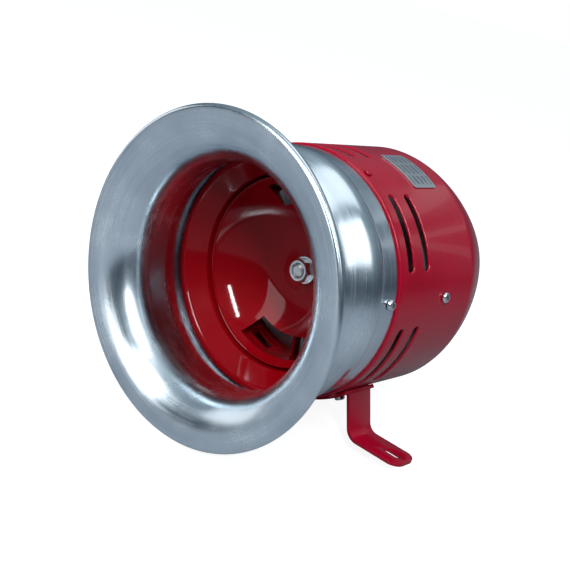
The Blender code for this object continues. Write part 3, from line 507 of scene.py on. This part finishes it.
def slot_outline(length, width):
    """The (x, y) outline of a round-ended slot."""
    columns = slot_columns(length, width, straight=1)
    return columns[:-1] + [(x, -h) for x, h in columns[:0:-1]]


def flared_slot(name, angle, station, length, width, radius, layers):
    """A cutter through the drum's wall, wider at the outside so that the slot's edge is rounded."""
    bm = bmesh.new()
    layers_of = []
    for height, spread in layers:
        columns = slot_columns(length + 2 * spread, width + 2 * spread)
        upper, lower = [], []
        for u, h in columns:
            upper.append(bm.verts.new(on_axis(radius + height, angle + u / radius, station + h)))
            at_tip = h < ON_AXIS
            lower.append(upper[-1] if at_tip else
                         bm.verts.new(on_axis(radius + height, angle + u / radius, station - h)))
        layers_of.append((upper, lower))
    for upper, lower in (layers_of[0], layers_of[-1]):
        for i in range(len(upper) - 1):
            corners = [upper[i], upper[i + 1], lower[i + 1], lower[i]]
            bm.faces.new(list(dict.fromkeys(corners)))
    rings = [upper[:-1] + lower[:0:-1] for upper, lower in layers_of]
    for low, high in zip(rings, rings[1:]):
        for i in range(len(low)):
            j = (i + 1) % len(low)
            bm.faces.new((low[i], high[i], high[j], low[j]))
    bmesh.ops.recalc_face_normals(bm, faces=bm.faces)
    mesh = bpy.data.meshes.new(name)
    bm.to_mesh(mesh)
    bm.free()
    return mesh


# (height over the drum's skin, spread of the slot) of the slot cutters' layers
EDGE_LAYERS = [(-0.0040, -0.0002), (-0.0011, -0.0002), (-0.0008, -0.0001), (-0.0005, 0.00005),
               (-0.0002, 0.0003), (0.0, 0.0006), (0.0012, 0.0020)]


def drum():
    spigot_in = SPIGOT_R - SHEET
    front = SHOULDER_Y + 2 * GAP
    profile = [(front, SPIGOT_R), (STEP_Y - 0.0003, SPIGOT_R), (STEP_Y, SPIGOT_R + 0.0003)]
    profile += [(STEP_Y, DRUM_R - STEP_EDGE_R)]
    begin = STEP_Y + STEP_EDGE_R
    for a in (math.radians(22.5), math.radians(45), math.radians(67.5), math.radians(90)):
        profile += [(begin - STEP_EDGE_R * math.cos(a), DRUM_R - STEP_EDGE_R + STEP_EDGE_R * math.sin(a))]
    straight = 44
    profile += [(begin + (DRUM_END - begin) * i / straight, DRUM_R) for i in range(1, straight)]
    profile += tail_line(0)
    profile += [(TAIL_END, REAR_HOLE_R), (TAIL_END - SHEET, REAR_HOLE_R)]
    profile += tail_line(SHEET, 12)[::-1]
    profile += [(STEP_Y + 2 * SHEET, DRUM_R - SHEET), (STEP_Y + SHEET, spigot_in), (front, spigot_in)]
    mesh = turned("drum_skin", profile, 240)
    cutters = []
    for group in range(SLOT_GROUPS):
        middle = CLOCK + math.radians(360) * (group + 0.5) / SLOT_GROUPS
        for row, y in enumerate(SLOT_ROWS):
            cutters.append(flared_slot(f"slot_{group}_{row}", middle, y, DRUM_R * SLOT_ARC, SLOT_WIDTH,
                                       DRUM_R, EDGE_LAYERS))
    obj = piece("drum_skin", cut(mesh, cutters), RED, smooth=math.radians(30))
    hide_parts("housing")


COVER_FLANGE_R, COVER_BOSS_R, COVER_T, COVER_BOSS_H, COVER_EDGE_R = 0.0265, 0.0200, 0.0016, 0.0060, 0.0032
COVER_BORE_R, COVER_SCREW_X = 0.0045, 0.0232


def rear_cap():
    face = TAIL_END + GAP
    flange, boss, edge, bore = COVER_FLANGE_R, COVER_BOSS_R, COVER_EDGE_R, COVER_BORE_R
    seat = face + COVER_T
    top = seat + COVER_BOSS_H
    profile = [(face, flange - 0.0003), (face, bore), (top, bore)]
    profile += arc(edge, 0, math.radians(90), 8, (top - edge, boss - edge))
    profile += [(seat + 0.0008, boss), (seat + 0.0002, boss + 0.0003), (seat, boss + 0.0009)]
    profile += [(seat, flange - 0.0005), (seat - 0.0004, flange), (face + 0.0003, flange)]
    obj = piece("rear_cap_skin", turned("rear_cap_skin", profile, 96), COVER)
    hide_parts("rear_cover")


# Throat ring and rotor --------------------------------------------------------------------------------
LIP_Y, LIP_R = 0.056, 0.0688
CONE_END_Y, CONE_END_R = 0.0665, 0.0590
BOWL_FRONT_Y, BOWL_R, BOWL_FLOOR_Y, BOWL_POWER = 0.0685, 0.0576, 0.0926, 2.6
ROTOR_WALL, ROTOR_END, HUB_R, HUB_END = 0.0018, 0.102, 0.011, 0.1105
WINDOW_IN, WINDOW_OUT, WINDOW_ARC = 0.0405, 0.0530, math.radians(58)
VANES = 8
PORT_Y, PORT_SIZE = 0.0915, (0.018, 0.013)
HUB_BORE_R = 0.0053


def throat():
    band_r = SPIGOT_R - SHEET - GAP
    back = SKIRT_END - SHEET
    lip = SHEET / 2
    profile = [(back, band_r), (LIP_Y + SHEET, band_r), (LIP_Y + 0.0004, band_r - 0.0004)]
    profile += [(LIP_Y, band_r - SHEET)]
    profile += [(LIP_Y, LIP_R + lip), (LIP_Y + 0.0001, LIP_R + 0.25 * lip), (LIP_Y + lip, LIP_R - 0.0001)]
    profile += [(LIP_Y + lip + (CONE_END_Y - LIP_Y - lip) * i / 12,
                 LIP_R - 0.0001 - (LIP_R - 0.0001 - CONE_END_R) * i / 12) for i in range(1, 12)]
    profile += [(CONE_END_Y - 0.0001, CONE_END_R + 0.00005), (CONE_END_Y + 0.0006, CONE_END_R - 0.00005)]
    profile += [(CONE_END_Y + 4 * SHEET, CONE_END_R), (CONE_END_Y + 4 * SHEET, CONE_END_R + SHEET)]
    profile += [(CONE_END_Y + SHEET, CONE_END_R + SHEET), (LIP_Y + 4 * SHEET, LIP_R + lip)]
    profile += [(LIP_Y + 4 * SHEET, band_r - SHEET), (back, band_r - SHEET)]
    obj = piece("throat_skin", turned("throat_skin", profile, 192), INNER_RED)
    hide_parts("throat_ring")


def bowl_line(count=26):
    """The inside of the rotor's bowl as (station, radius), from its floor to its front."""
    edge = BOWL_R - ROTOR_WALL
    front = BOWL_FRONT_Y + 0.001
    line = []
    for i in range(count + 1):
        share = math.sin(math.radians(90) * i / count)
        line.append((front + (BOWL_FLOOR_Y - front) * (1 - share**BOWL_POWER),
                     HUB_R + (edge - HUB_R) * share))
    return line


def box_mesh(name, size, matrix):
    x, y, z = (side / 2 for side in size)
    return plate(name, [(-x, -y), (x, -y), (x, y), (-x, y)], 2 * z, matrix)


def rotor():
    bore, rim = HUB_BORE_R, BOWL_R - ROTOR_WALL
    dish = bowl_line()
    back = [(y + ROTOR_WALL, r - ROTOR_WALL * 0.6) for y, r in dish[6:-2]]
    profile = [(BOWL_FLOOR_Y, bore)] + dish
    profile += [(BOWL_FRONT_Y + 0.0003, rim + 0.0002), (BOWL_FRONT_Y, BOWL_R - ROTOR_WALL / 2)]
    profile += [(BOWL_FRONT_Y + 0.0003, BOWL_R - 0.0003), (BOWL_FRONT_Y + 0.001, BOWL_R), (ROTOR_END, BOWL_R)]
    profile += [(ROTOR_END, rim), (dish[-1][0] + 3 * ROTOR_WALL, rim)]
    profile += back[::-1] + [(BOWL_FLOOR_Y + 2 * ROTOR_WALL, HUB_R), (HUB_END, HUB_R), (HUB_END, bore)]
    mesh = turned("rotor_skin", profile, 160)
    length = BOWL_R - ROTOR_WALL / 2 - HUB_R + ROTOR_WALL
    vanes, windows = [], []
    for i in range(VANES):
        at = radial(ROTOR_CLOCK + 2 * math.pi / VANES * i, (BOWL_FLOOR_Y + ROTOR_END) / 2)
        at = at @ Matrix.Translation((0, 0, HUB_R - ROTOR_WALL / 2 + length / 2))
        vanes.append(box_mesh("vane", (ROTOR_WALL, ROTOR_END - BOWL_FLOOR_Y - 2 * ROTOR_WALL, length), at))
        port = radial(ROTOR_CLOCK + 2 * math.pi / VANES * (i + 0.5), PORT_Y)
        port = port @ Matrix.Translation((0, 0, BOWL_R - ROTOR_WALL / 2))
        windows.append(box_mesh("port", (*PORT_SIZE, 3 * ROTOR_WALL), port))
    depth = 2 * (BOWL_FLOOR_Y - BOWL_FRONT_Y)
    for side in (-1, 1):
        middle = ROTOR_CLOCK + side * math.radians(90)
        start, end = middle - WINDOW_ARC / 2, middle + WINDOW_ARC / 2
        shape = arc(WINDOW_OUT, start, end, 24) + arc(WINDOW_IN, end, start, 24)
        windows.append(prism("window", shape, BOWL_FLOOR_Y - depth, BOWL_FLOOR_Y))
    mesh = cut(cut(mesh, vanes, "UNION"), windows)
    obj = piece("rotor_skin", mesh, INNER_RED, body="rotor", smooth=math.radians(32))
    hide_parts("impeller")


# Fasteners -------------------------------------------------------------------------------------------
SCREW_HEAD, SCREW_SHANK_R, SCREW_DEPTH = (0.0033, 0.0024), 0.0019, 0.004     # heads are (radius, height)
RIVET_HEAD, RIVET_SHANK_R, RIVET_DEPTH = (0.0026, 0.0012), 0.0010, 0.002
COVER_HEAD, COVER_SHANK_R = (0.0026, 0.0015), 0.0013
SADDLE_SCREW_DEPTH, SADDLE_SCREW_ANGLE = 0.005, math.radians(30)
NUT_FLATS, NUT_T, WASHER_T, WASHER_R = 0.0130, 0.0062, 0.0016, 0.0085
SHAFT_FRONT, SHAFT_REAR, SHAFT_R, THREAD_R, THREAD_PITCH = 0.0835, 0.2345, 0.0050, 0.0040, 0.00125


def local_turned(name, profile, steps, matrix):
    """A (height, radius) line swept round a frame's Z. It starts and ends on the axis."""
    bm = bmesh.new()
    rings = []
    for height, radius in profile:
        if radius < ON_AXIS:
            rings.append([bm.verts.new(matrix @ Vector((0, 0, height)))])
        else:
            rings.append([
                bm.verts.new(matrix @ Vector((radius * math.cos(2 * math.pi * i / steps),
                                              radius * math.sin(2 * math.pi * i / steps), height)))
                for i in range(steps)
            ])
    for near, far in zip(rings, rings[1:]):
        for i in range(steps):
            j = (i + 1) % steps
            if len(near) == 1:
                bm.faces.new((near[0], far[i], far[j]))
            elif len(far) == 1:
                bm.faces.new((near[i], far[0], near[j]))
            else:
                bm.faces.new((near[i], far[i], far[j], near[j]))
    bmesh.ops.recalc_face_normals(bm, faces=bm.faces)
    mesh = bpy.data.meshes.new(name)
    bm.to_mesh(mesh)
    bm.free()
    return mesh


def pan_head(name, node, at, seat, depth, head, shank, turn=None, look=STEEL):
    """A pan-head screw whose cross recess is turned, or with no turn a plain rivet, on a frame's Z."""
    head_r, head_h = head
    recess = turn is not None
    rise = seat + GAP
    profile = [(rise - depth, 0), (rise - depth, shank), (rise, shank), (rise, head_r * 0.96)]
    profile += [(rise + head_h * 0.12, head_r)]
    profile += [
        (rise + head_h * (0.30 + 0.70 * math.sin(t)), head_r * (0.62 + 0.38 * math.cos(t)))
        for t in (math.radians(10 * a) for a in range(10))
    ]
    profile += [(rise + head_h, 0)]
    mesh = local_turned(name, profile, 40, at)
    if recess:
        cutters = []
        for quarter in (0, 1):
            spin = Matrix.Rotation(turn + math.radians(90) * quarter, 4, "Z")
            blade = [(-head_r * 0.52, -head_r * 0.11), (head_r * 0.52, -head_r * 0.11),
                     (head_r * 0.52, head_r * 0.11), (-head_r * 0.52, head_r * 0.11)]
            cutters.append(plate("blade", blade, head_h * 1.2,
                                 at @ spin @ Matrix.Translation((0, 0, rise + head_h))))
        mesh = cut(mesh, cutters)
    obj = piece(name, mesh, look, smooth=math.radians(32))
    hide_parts(node)


def fasteners():
    for i, angle in enumerate(THIRDS):
        pan_head(f"horn_screw_skin_{i + 1}", f"horn_screw_{i + 1}", radial(angle, SKIRT_SCREW_Y),
                 SKIRT_R, SCREW_DEPTH, SCREW_HEAD, SCREW_SHANK_R, 0.5 + i)
        pan_head(f"body_screw_skin_{i + 1}", f"body_screw_{i + 1}", radial(angle, BODY_SCREW_Y),
                 DRUM_R, SCREW_DEPTH, SCREW_HEAD, SCREW_SHANK_R, 0.9 + i)
        pan_head(f"rivet_skin_{i + 1}", f"stator_rivet_{i + 1}", radial(angle + math.radians(60), RIVET_Y),
                 DRUM_R, RIVET_DEPTH, RIVET_HEAD, RIVET_SHANK_R, look=RED)
    for word, side in (("left", -1), ("right", 1)):
        at = math.radians(-90) + side * SADDLE_SCREW_ANGLE
        pan_head(f"saddle_screw_skin_{word}", f"saddle_screw_{word}", radial(at, SADDLE_Y),
                 DRUM_R + GAP + STRAP_T, SADDLE_SCREW_DEPTH, SCREW_HEAD, SCREW_SHANK_R, 0.3)
        place = Matrix.Translation(on_axis(0, 0, 0) + Vector((side * COVER_SCREW_X, 0, 0)))
        place = place @ Matrix.Rotation(math.radians(-90), 4, "X")
        pan_head(f"cover_screw_skin_{word}", f"cover_screw_{word}", place,
                 TAIL_END + GAP + COVER_T, SCREW_DEPTH, COVER_HEAD, COVER_SHANK_R, 0.7)


def hub_nut():
    washer_front = BOWL_FLOOR_Y - GAP - WASHER_T
    back = washer_front - GAP
    front = back - NUT_T
    half = NUT_FLATS / 2
    corner = half / math.cos(math.radians(30))
    sixths = [math.radians(60 * i) for i in range(6)]
    outline = [(corner * math.cos(a), corner * math.sin(a)) for a in sixths]
    body = prism("hub_nut_skin", outline, front, back)
    cap = turned("cap", [(front - 0.001, half - 0.0013), (front, half - 0.0003),
                         (front + 0.0018, corner + 0.0002), (back - 0.0009, corner + 0.0002),
                         (back, half - 0.0001), (back + 0.001, half - 0.0004),
                         (back + 0.001, 0), (front - 0.001, 0)], 72)
    bore = turned("bore", [(front - 0.002, 0), (front - 0.002, 0.0052), (front, 0.0050),
                           (front + 0.0007, 0.0043), (back + 0.002, 0.0043), (back + 0.002, 0)], 48)
    mesh = cut(cut(body, [cap], "INTERSECT"), [bore])
    obj = piece("hub_nut_skin", mesh, STEEL, body="rotor", smooth=math.radians(30))
    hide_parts("shaft_nut")

    washer_back = washer_front + WASHER_T
    washer = [(washer_front, 0.0043), (washer_front, WASHER_R - 0.0002), (washer_front + 0.0002, WASHER_R),
              (washer_back - 0.0002, WASHER_R), (washer_back, WASHER_R - 0.0002), (washer_back, 0.0043)]
    obj = piece("hub_washer_skin", turned("hub_washer_skin", washer, 72), STEEL, body="rotor")
    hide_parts("shaft_washer")


def threaded_shaft():
    front, rear, shoulder = SHAFT_FRONT, SHAFT_REAR, BOWL_FLOOR_Y + GAP
    profile = [(front, 0), (front, 0.0030), (front + 0.0005, THREAD_R - 0.0003)]
    for i in range(int((shoulder - front - 0.001) / THREAD_PITCH)):
        y = front + 0.0006 + THREAD_PITCH * i
        profile += [(y, THREAD_R - 0.0004), (y + THREAD_PITCH * 0.5, THREAD_R)]
    profile += [(shoulder - 0.0002, THREAD_R - 0.0003), (shoulder, SHAFT_R)]
    profile += [(rear - 0.0006, SHAFT_R), (rear, SHAFT_R - 0.0006), (rear, 0)]
    obj = piece("shaft_skin", turned("shaft_skin", profile, 48), THREAD, body="rotor")
    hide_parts("shaft")


# Label -----------------------------------------------------------------------------------------------
LABEL_FROM, LABEL_TO = 0.1215, 0.1455
LABEL_LOW, LABEL_HIGH = math.radians(59), math.radians(83)
LABEL_CORNER_R, LABEL_T, LABEL_STEPS = 0.0022, 0.0004, 28


def label_foil():
    """Silver foil with a plain border and rows of plain grey bars in place of any print."""
    n = Nodes("label_foil")
    place = n.place()
    _, station, angle = n.turned_place(place)
    along = n.spread(station, LABEL_FROM, LABEL_TO, 0.0, 1.0)
    round_it = n.spread(angle, LABEL_LOW, LABEL_HIGH, 0.0, 1.0)

    def near_middle(value, reach):
        """1 where a share is within reach of one half, else 0."""
        return n.math("LESS_THAN", n.math("ABSOLUTE", n.math("SUBTRACT", value, 0.5)), reach)

    in_row = near_middle(n.math("FRACT", n.math("MULTIPLY", along, 5.0)), 0.20)
    in_cell = near_middle(n.math("FRACT", n.math("MULTIPLY", round_it, 3.0)), 0.40)
    inside = n.math("MULTIPLY", near_middle(along, 0.41), near_middle(round_it, 0.42))
    worn = n.spread(n.noise(place, 900.0, 3.0, 0.6), 0.35, 0.6, 0.25, 1.0)
    ink = n.math("MULTIPLY", n.math("MULTIPLY", in_row, in_cell), n.math("MULTIPLY", inside, worn))
    colour = n.ramp(ink, [(0.0, (0.52, 0.56, 0.60)), (1.0, (0.12, 0.14, 0.17))])
    brushed = n.noise(n.vector(n.math("MULTIPLY", angle, 40), n.math("MULTIPLY", station, 9000), 0), 1.0)
    return n.set(Base_Color=colour, Roughness=n.spread(brushed, 0.3, 0.7, 0.26, 0.40), Metallic=0.85,
                 Normal=n.bump(brushed, 0.08, 0.0001))


def label():
    length = DRUM_R * (LABEL_HIGH - LABEL_LOW)
    width = LABEL_TO - LABEL_FROM
    corner = LABEL_CORNER_R
    middle, station = (LABEL_LOW + LABEL_HIGH) / 2, (LABEL_FROM + LABEL_TO) / 2
    outline = []
    for cx, cy, start in ((1, 1, 0), (-1, 1, 90), (-1, -1, 180), (1, -1, 270)):
        outline += arc(corner, math.radians(start), math.radians(start + 90), 6,
                       (cx * (length / 2 - corner), cy * (width / 2 - corner)))
    bm = bmesh.new()
    columns = [-length / 2 + length * i / LABEL_STEPS for i in range(LABEL_STEPS + 1)]
    flat = [bm.verts.new((x, y, 0)) for x, y in outline]
    bm.faces.new(flat)
    for x in columns[1:-1]:
        bmesh.ops.bisect_plane(bm, geom=bm.verts[:] + bm.edges[:] + bm.faces[:], plane_co=(x, 0, 0),
                               plane_no=(1, 0, 0), dist=1e-7)
    top = bmesh.ops.extrude_face_region(bm, geom=bm.faces[:])
    for v in (g for g in top["geom"] if isinstance(g, bmesh.types.BMVert)):
        v.co.z = LABEL_T
    for v in bm.verts:
        v.co = on_axis(DRUM_R + GAP + v.co.z, middle + v.co.x / DRUM_R, station + v.co.y)
    bmesh.ops.recalc_face_normals(bm, faces=bm.faces)
    mesh = bpy.data.meshes.new("label_skin")
    bm.to_mesh(mesh)
    bm.free()
    obj = piece("label_skin", mesh, label_foil())
    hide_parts("rating_label")


# Foot bracket ----------------------------------------------------------------------------------------
STRAP_T, STRAP_WIDTH, STRAP_FRONT = 0.0024, 0.022, 0.0955
SADDLE_MARGIN, SADDLE_END = 0.0040, math.radians(48)
SADDLE_Y = STRAP_FRONT + STRAP_WIDTH / 2
FOOT_DROP, KNEE_X, FOOT_TIP_X, KNEE_BEND_R = 0.0865, 0.0620, 0.0980, 0.0070
FOOT_CORNER_R, PAST = 0.0075, 0.001      # a foot's corners, and how far their cutters go past the tip
FOOT_SLOT_X, FOOT_SLOT_LENGTH, FOOT_SLOT_WIDTH = 0.0868, 0.0125, 0.0050


def leg_outline():
    """The right leg and foot as (x, z) about the axis."""
    inner = DRUM_R + GAP
    top_x, top_z = inner * math.cos(SADDLE_END), -inner * math.sin(SADDLE_END)
    floor = -FOOT_DROP
    lean = math.atan2(KNEE_X - top_x, top_z - floor)
    turn = math.radians(90) - lean
    middle_x = KNEE_X + KNEE_BEND_R * math.tan(turn / 2)
    outer = arc(KNEE_BEND_R, math.radians(180) + lean, math.radians(270), 14,
                (middle_x, floor + STRAP_T + KNEE_BEND_R))
    under = arc(KNEE_BEND_R + STRAP_T, math.radians(180) + lean, math.radians(270), 14,
                (middle_x, floor + KNEE_BEND_R + STRAP_T))
    away = STRAP_T / math.cos(lean)
    rise = (top_z - outer[0][1]) / math.cos(lean)
    top = (outer[0][0] - rise * math.sin(lean), top_z)
    tip = [(FOOT_TIP_X, floor + STRAP_T), (FOOT_TIP_X, floor)]
    return [top] + outer + tip + under[::-1] + [(top[0] - away, top_z)]


def bracket():
    inner = DRUM_R + GAP
    saddle = arc(inner + STRAP_T, math.radians(180) + SADDLE_END, math.radians(360) - SADDLE_END, 60)
    saddle += arc(inner, math.radians(360) - SADDLE_END, math.radians(180) + SADDLE_END, 60)
    front, rear = STRAP_FRONT, STRAP_FRONT + STRAP_WIDTH
    mesh = prism("bracket_skin", saddle, front - SADDLE_MARGIN, rear + SADDLE_MARGIN)
    right = leg_outline()
    left = [(-x, z) for x, z in right[::-1]]
    mesh = cut(mesh, [prism("leg", right, front, rear), prism("leg", left, front, rear)], "UNION")
    clear = [(front - 0.02, 0), (front - 0.02, inner), (rear + 0.02, inner), (rear + 0.02, 0)]
    cutters = [turned("clear", clear, 240)]
    mid_foot = Matrix.Translation(on_axis(0, 0, SADDLE_Y) + Vector((0, 0, -FOOT_DROP + STRAP_T / 2)))
    radius, past = FOOT_CORNER_R, FOOT_CORNER_R + PAST
    for side in (-1, 1):
        at = on_axis(0, 0, SADDLE_Y) + Vector((side * FOOT_SLOT_X, 0, -FOOT_DROP + STRAP_T / 2))
        slot = slot_outline(FOOT_SLOT_LENGTH, FOOT_SLOT_WIDTH)
        cutters.append(plate("slot", slot, 4 * STRAP_T, Matrix.Translation(at)))
        for end in (-1, 1):
            x, y = side * (FOOT_TIP_X - radius), end * (STRAP_WIDTH / 2 - radius)
            outline = [(x + side * u, y + end * v) for u, v in arc(radius, 0, math.radians(90), 12)]
            outline += [(x, y + end * past), (x + side * past, y + end * past), (x + side * past, y)]
            cutters.append(plate("corner", outline, 4 * STRAP_T, mid_foot))
    mesh = cut(mesh, cutters)
    obj = piece("bracket_skin", mesh, RED, bevel=0.0004)
    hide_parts("foot_bracket")


# Carried-over CAD pieces -------------------------------------------------------------------------------
CARRIED = {
    "armature_core": LAMINATION, "stator_core": LAMINATION,
    "armature_winding_front": COPPER, "armature_winding_rear": COPPER,
    "field_coil_left": COPPER, "field_coil_right": COPPER, "commutator": BRASS,
    "brush_holder_left": BRASS, "brush_holder_right": BRASS,
    "brush_spring_left": STEEL, "brush_spring_right": STEEL,
    "carbon_brush_left": CARBON, "carbon_brush_right": CARBON,
    "front_bearing": STEEL, "rear_bearing": STEEL,
    "motor_front_bracket": CAST, "motor_rear_bracket": CAST,
    "stator_port_ring": INNER_RED,
    "tie_bolt_lower": DARK, "tie_bolt_upper": DARK, "tie_nut_lower": DARK, "tie_nut_upper": DARK,
    "terminal_block": PLASTIC, "cable_grommet": RUBBER,
}


def finish_carried():
    for name, look in CARRIED.items():
        mesh = NODES[name].data
        mesh.materials.clear()
        mesh.materials.append(look)


bell()
drum()
rear_cap()
throat()
rotor()
hub_nut()
threaded_shaft()
fasteners()
label()
bracket()
finish_carried()


# Stage, light and camera ---------------------------------------------------------------------------------
FLOOR_R, FLOOR_DROP = 60.0, 0.0002
LIT_CENTRE = (0, MOUTH_Y + 0.08, AXIS_Z)       # what the lights face


def emitter(name, direction, distance, size, energy, turn=0.0):
    """A rectangular light that faces the siren from a direction, spun about it by the turn."""
    light = bpy.data.lights.new(name, "AREA")
    light.shape = "RECTANGLE"
    light.size, light.size_y = size
    light.energy = energy
    obj = link(bpy.data.objects.new(name, light))
    out = Vector(direction).normalized()
    obj.location = Vector(LIT_CENTRE) + out * distance
    spin = Matrix.Rotation(turn, 3, "Z").to_quaternion()
    obj.rotation_euler = (out.to_track_quat("Z", "Y") @ spin).to_euler()


def ground():
    """A wide grey floor that the camera sees as white."""
    mesh = bpy.data.meshes.new("floor")
    bm = bmesh.new()
    bmesh.ops.create_circle(bm, cap_ends=True, segments=96, radius=FLOOR_R)
    bm.to_mesh(mesh)
    bm.free()
    floor = link(bpy.data.objects.new("floor", mesh))
    floor.location.z = -FLOOR_DROP
    n = Nodes("floor")
    n.set(Base_Color=(0.30, 0.32, 0.35, 1), Roughness=0.9, Specular_IOR_Level=0.1)
    seen = n.add("ShaderNodeLightPath")
    glow = n.math("MULTIPLY", seen.outputs["Is Camera Ray"], 0.90)
    n.set(Emission_Color=(1, 1, 1, 1), Emission_Strength=glow)
    mesh.materials.append(n.material)


def surroundings():
    """A dim sky, darkest at the horizon, that the camera sees as white."""
    world = bpy.data.worlds.new("studio")
    bpy.context.scene.world = world
    world.use_nodes = True
    tree = world.node_tree
    back = tree.nodes["Background"]
    coords = tree.nodes.new("ShaderNodeTexCoord")
    split = tree.nodes.new("ShaderNodeSeparateXYZ")
    tree.links.new(coords.outputs["Generated"], split.inputs[0])
    ramp = tree.nodes.new("ShaderNodeValToRGB")
    stops = [(0.0, (0.10, 0.12, 0.14)), (0.49, (0.06, 0.08, 0.10)), (0.60, (0.10, 0.14, 0.18)),
             (0.75, (0.28, 0.36, 0.42)), (1.0, (0.55, 0.68, 0.76))]
    while len(ramp.color_ramp.elements) < len(stops):
        ramp.color_ramp.elements.new(0.5)
    for element, (position, colour) in zip(ramp.color_ramp.elements, stops):
        element.position = position
        element.color = (*colour, 1)
    scale = tree.nodes.new("ShaderNodeMapRange")
    scale.inputs[1].default_value = -1.0
    scale.inputs[2].default_value = 1.0
    tree.links.new(split.outputs[2], scale.inputs[0])
    tree.links.new(scale.outputs[0], ramp.inputs[0])
    path = tree.nodes.new("ShaderNodeLightPath")
    mix = tree.nodes.new("ShaderNodeMixShader")
    white = tree.nodes.new("ShaderNodeBackground")
    white.inputs["Color"].default_value = (1, 1, 1, 1)
    white.inputs["Strength"].default_value = 1.0
    back.inputs["Strength"].default_value = 0.7
    tree.links.new(ramp.outputs[0], back.inputs["Color"])
    tree.links.new(path.outputs["Is Camera Ray"], mix.inputs[0])
    tree.links.new(back.outputs[0], mix.inputs[1])
    tree.links.new(white.outputs[0], mix.inputs[2])
    out = next(node for node in tree.nodes if node.type == "OUTPUT_WORLD")
    tree.links.new(mix.outputs[0], out.inputs["Surface"])


def lights():
    emitter("strip_right", (0.42, -0.62, 0.66), 1.3, (0.065, 0.78), 14.5, turn=math.radians(33))
    emitter("key_front", (-0.27, -0.88, 0.40), 1.6, (0.6, 1.4), 11.5)
    emitter("left", (-0.97, -0.22, 0.16), 1.5, (1.1, 0.7), 2.8)
    emitter("side", (0.80, 0.0, 0.72), 1.5, (0.5, 0.9), 3.0)
    emitter("top", (0.05, 0.2, 1.0), 1.5, (1.0, 0.8), 2.6)
    emitter("window_low", (0.45, 0.86, 0.20), 1.6, (0.06, 0.6), 0.12)
    emitter("window_mid", (0.30, 0.86, 0.40), 1.6, (0.6, 0.06), 0.12)
    emitter("window_high", (0.10, 0.86, 0.55), 1.6, (0.6, 0.08), 0.15)


# Where the camera stands about the object, and how far it is rolled.
VIEW_AZIMUTH, VIEW_ELEVATION, VIEW_ROLL = math.radians(36.71), math.radians(17.27), math.radians(15.06)
RIM_DISTANCE = 5.69 * 0.095              # from the mouth's centre
SENSOR, FOCAL = 36.0, 63.16
RIM_RIGHT, RIM_UP = -0.0856, 0.0043     # of the mouth's centre in the view, over its distance


def camera():
    data = bpy.data.cameras.new("camera")
    data.sensor_width = SENSOR
    data.lens = FOCAL
    data.clip_start = 0.01
    data.clip_end = 100
    obj = link(bpy.data.objects.new("camera", data))
    back = Vector((math.sin(VIEW_AZIMUTH) * math.cos(VIEW_ELEVATION),
                   -math.cos(VIEW_AZIMUTH) * math.cos(VIEW_ELEVATION), math.sin(VIEW_ELEVATION)))
    right = Vector((math.cos(VIEW_AZIMUTH), math.sin(VIEW_AZIMUTH), 0))
    up = back.cross(right)
    across = right * math.cos(VIEW_ROLL) + up * math.sin(VIEW_ROLL)
    rise = -right * math.sin(VIEW_ROLL) + up * math.cos(VIEW_ROLL)
    at = on_axis(0, 0, 0) + (back - across * RIM_RIGHT - rise * RIM_UP) * RIM_DISTANCE
    frame_axes = Matrix((across, rise, back)).transposed().to_4x4()
    obj.matrix_world = Matrix.Translation(at) @ frame_axes
    bpy.context.scene.camera = obj


ground()
surroundings()
lights()
camera()
bpy.context.scene.view_settings.view_transform = "Standard"
bpy.context.scene.view_settings.look = "None"
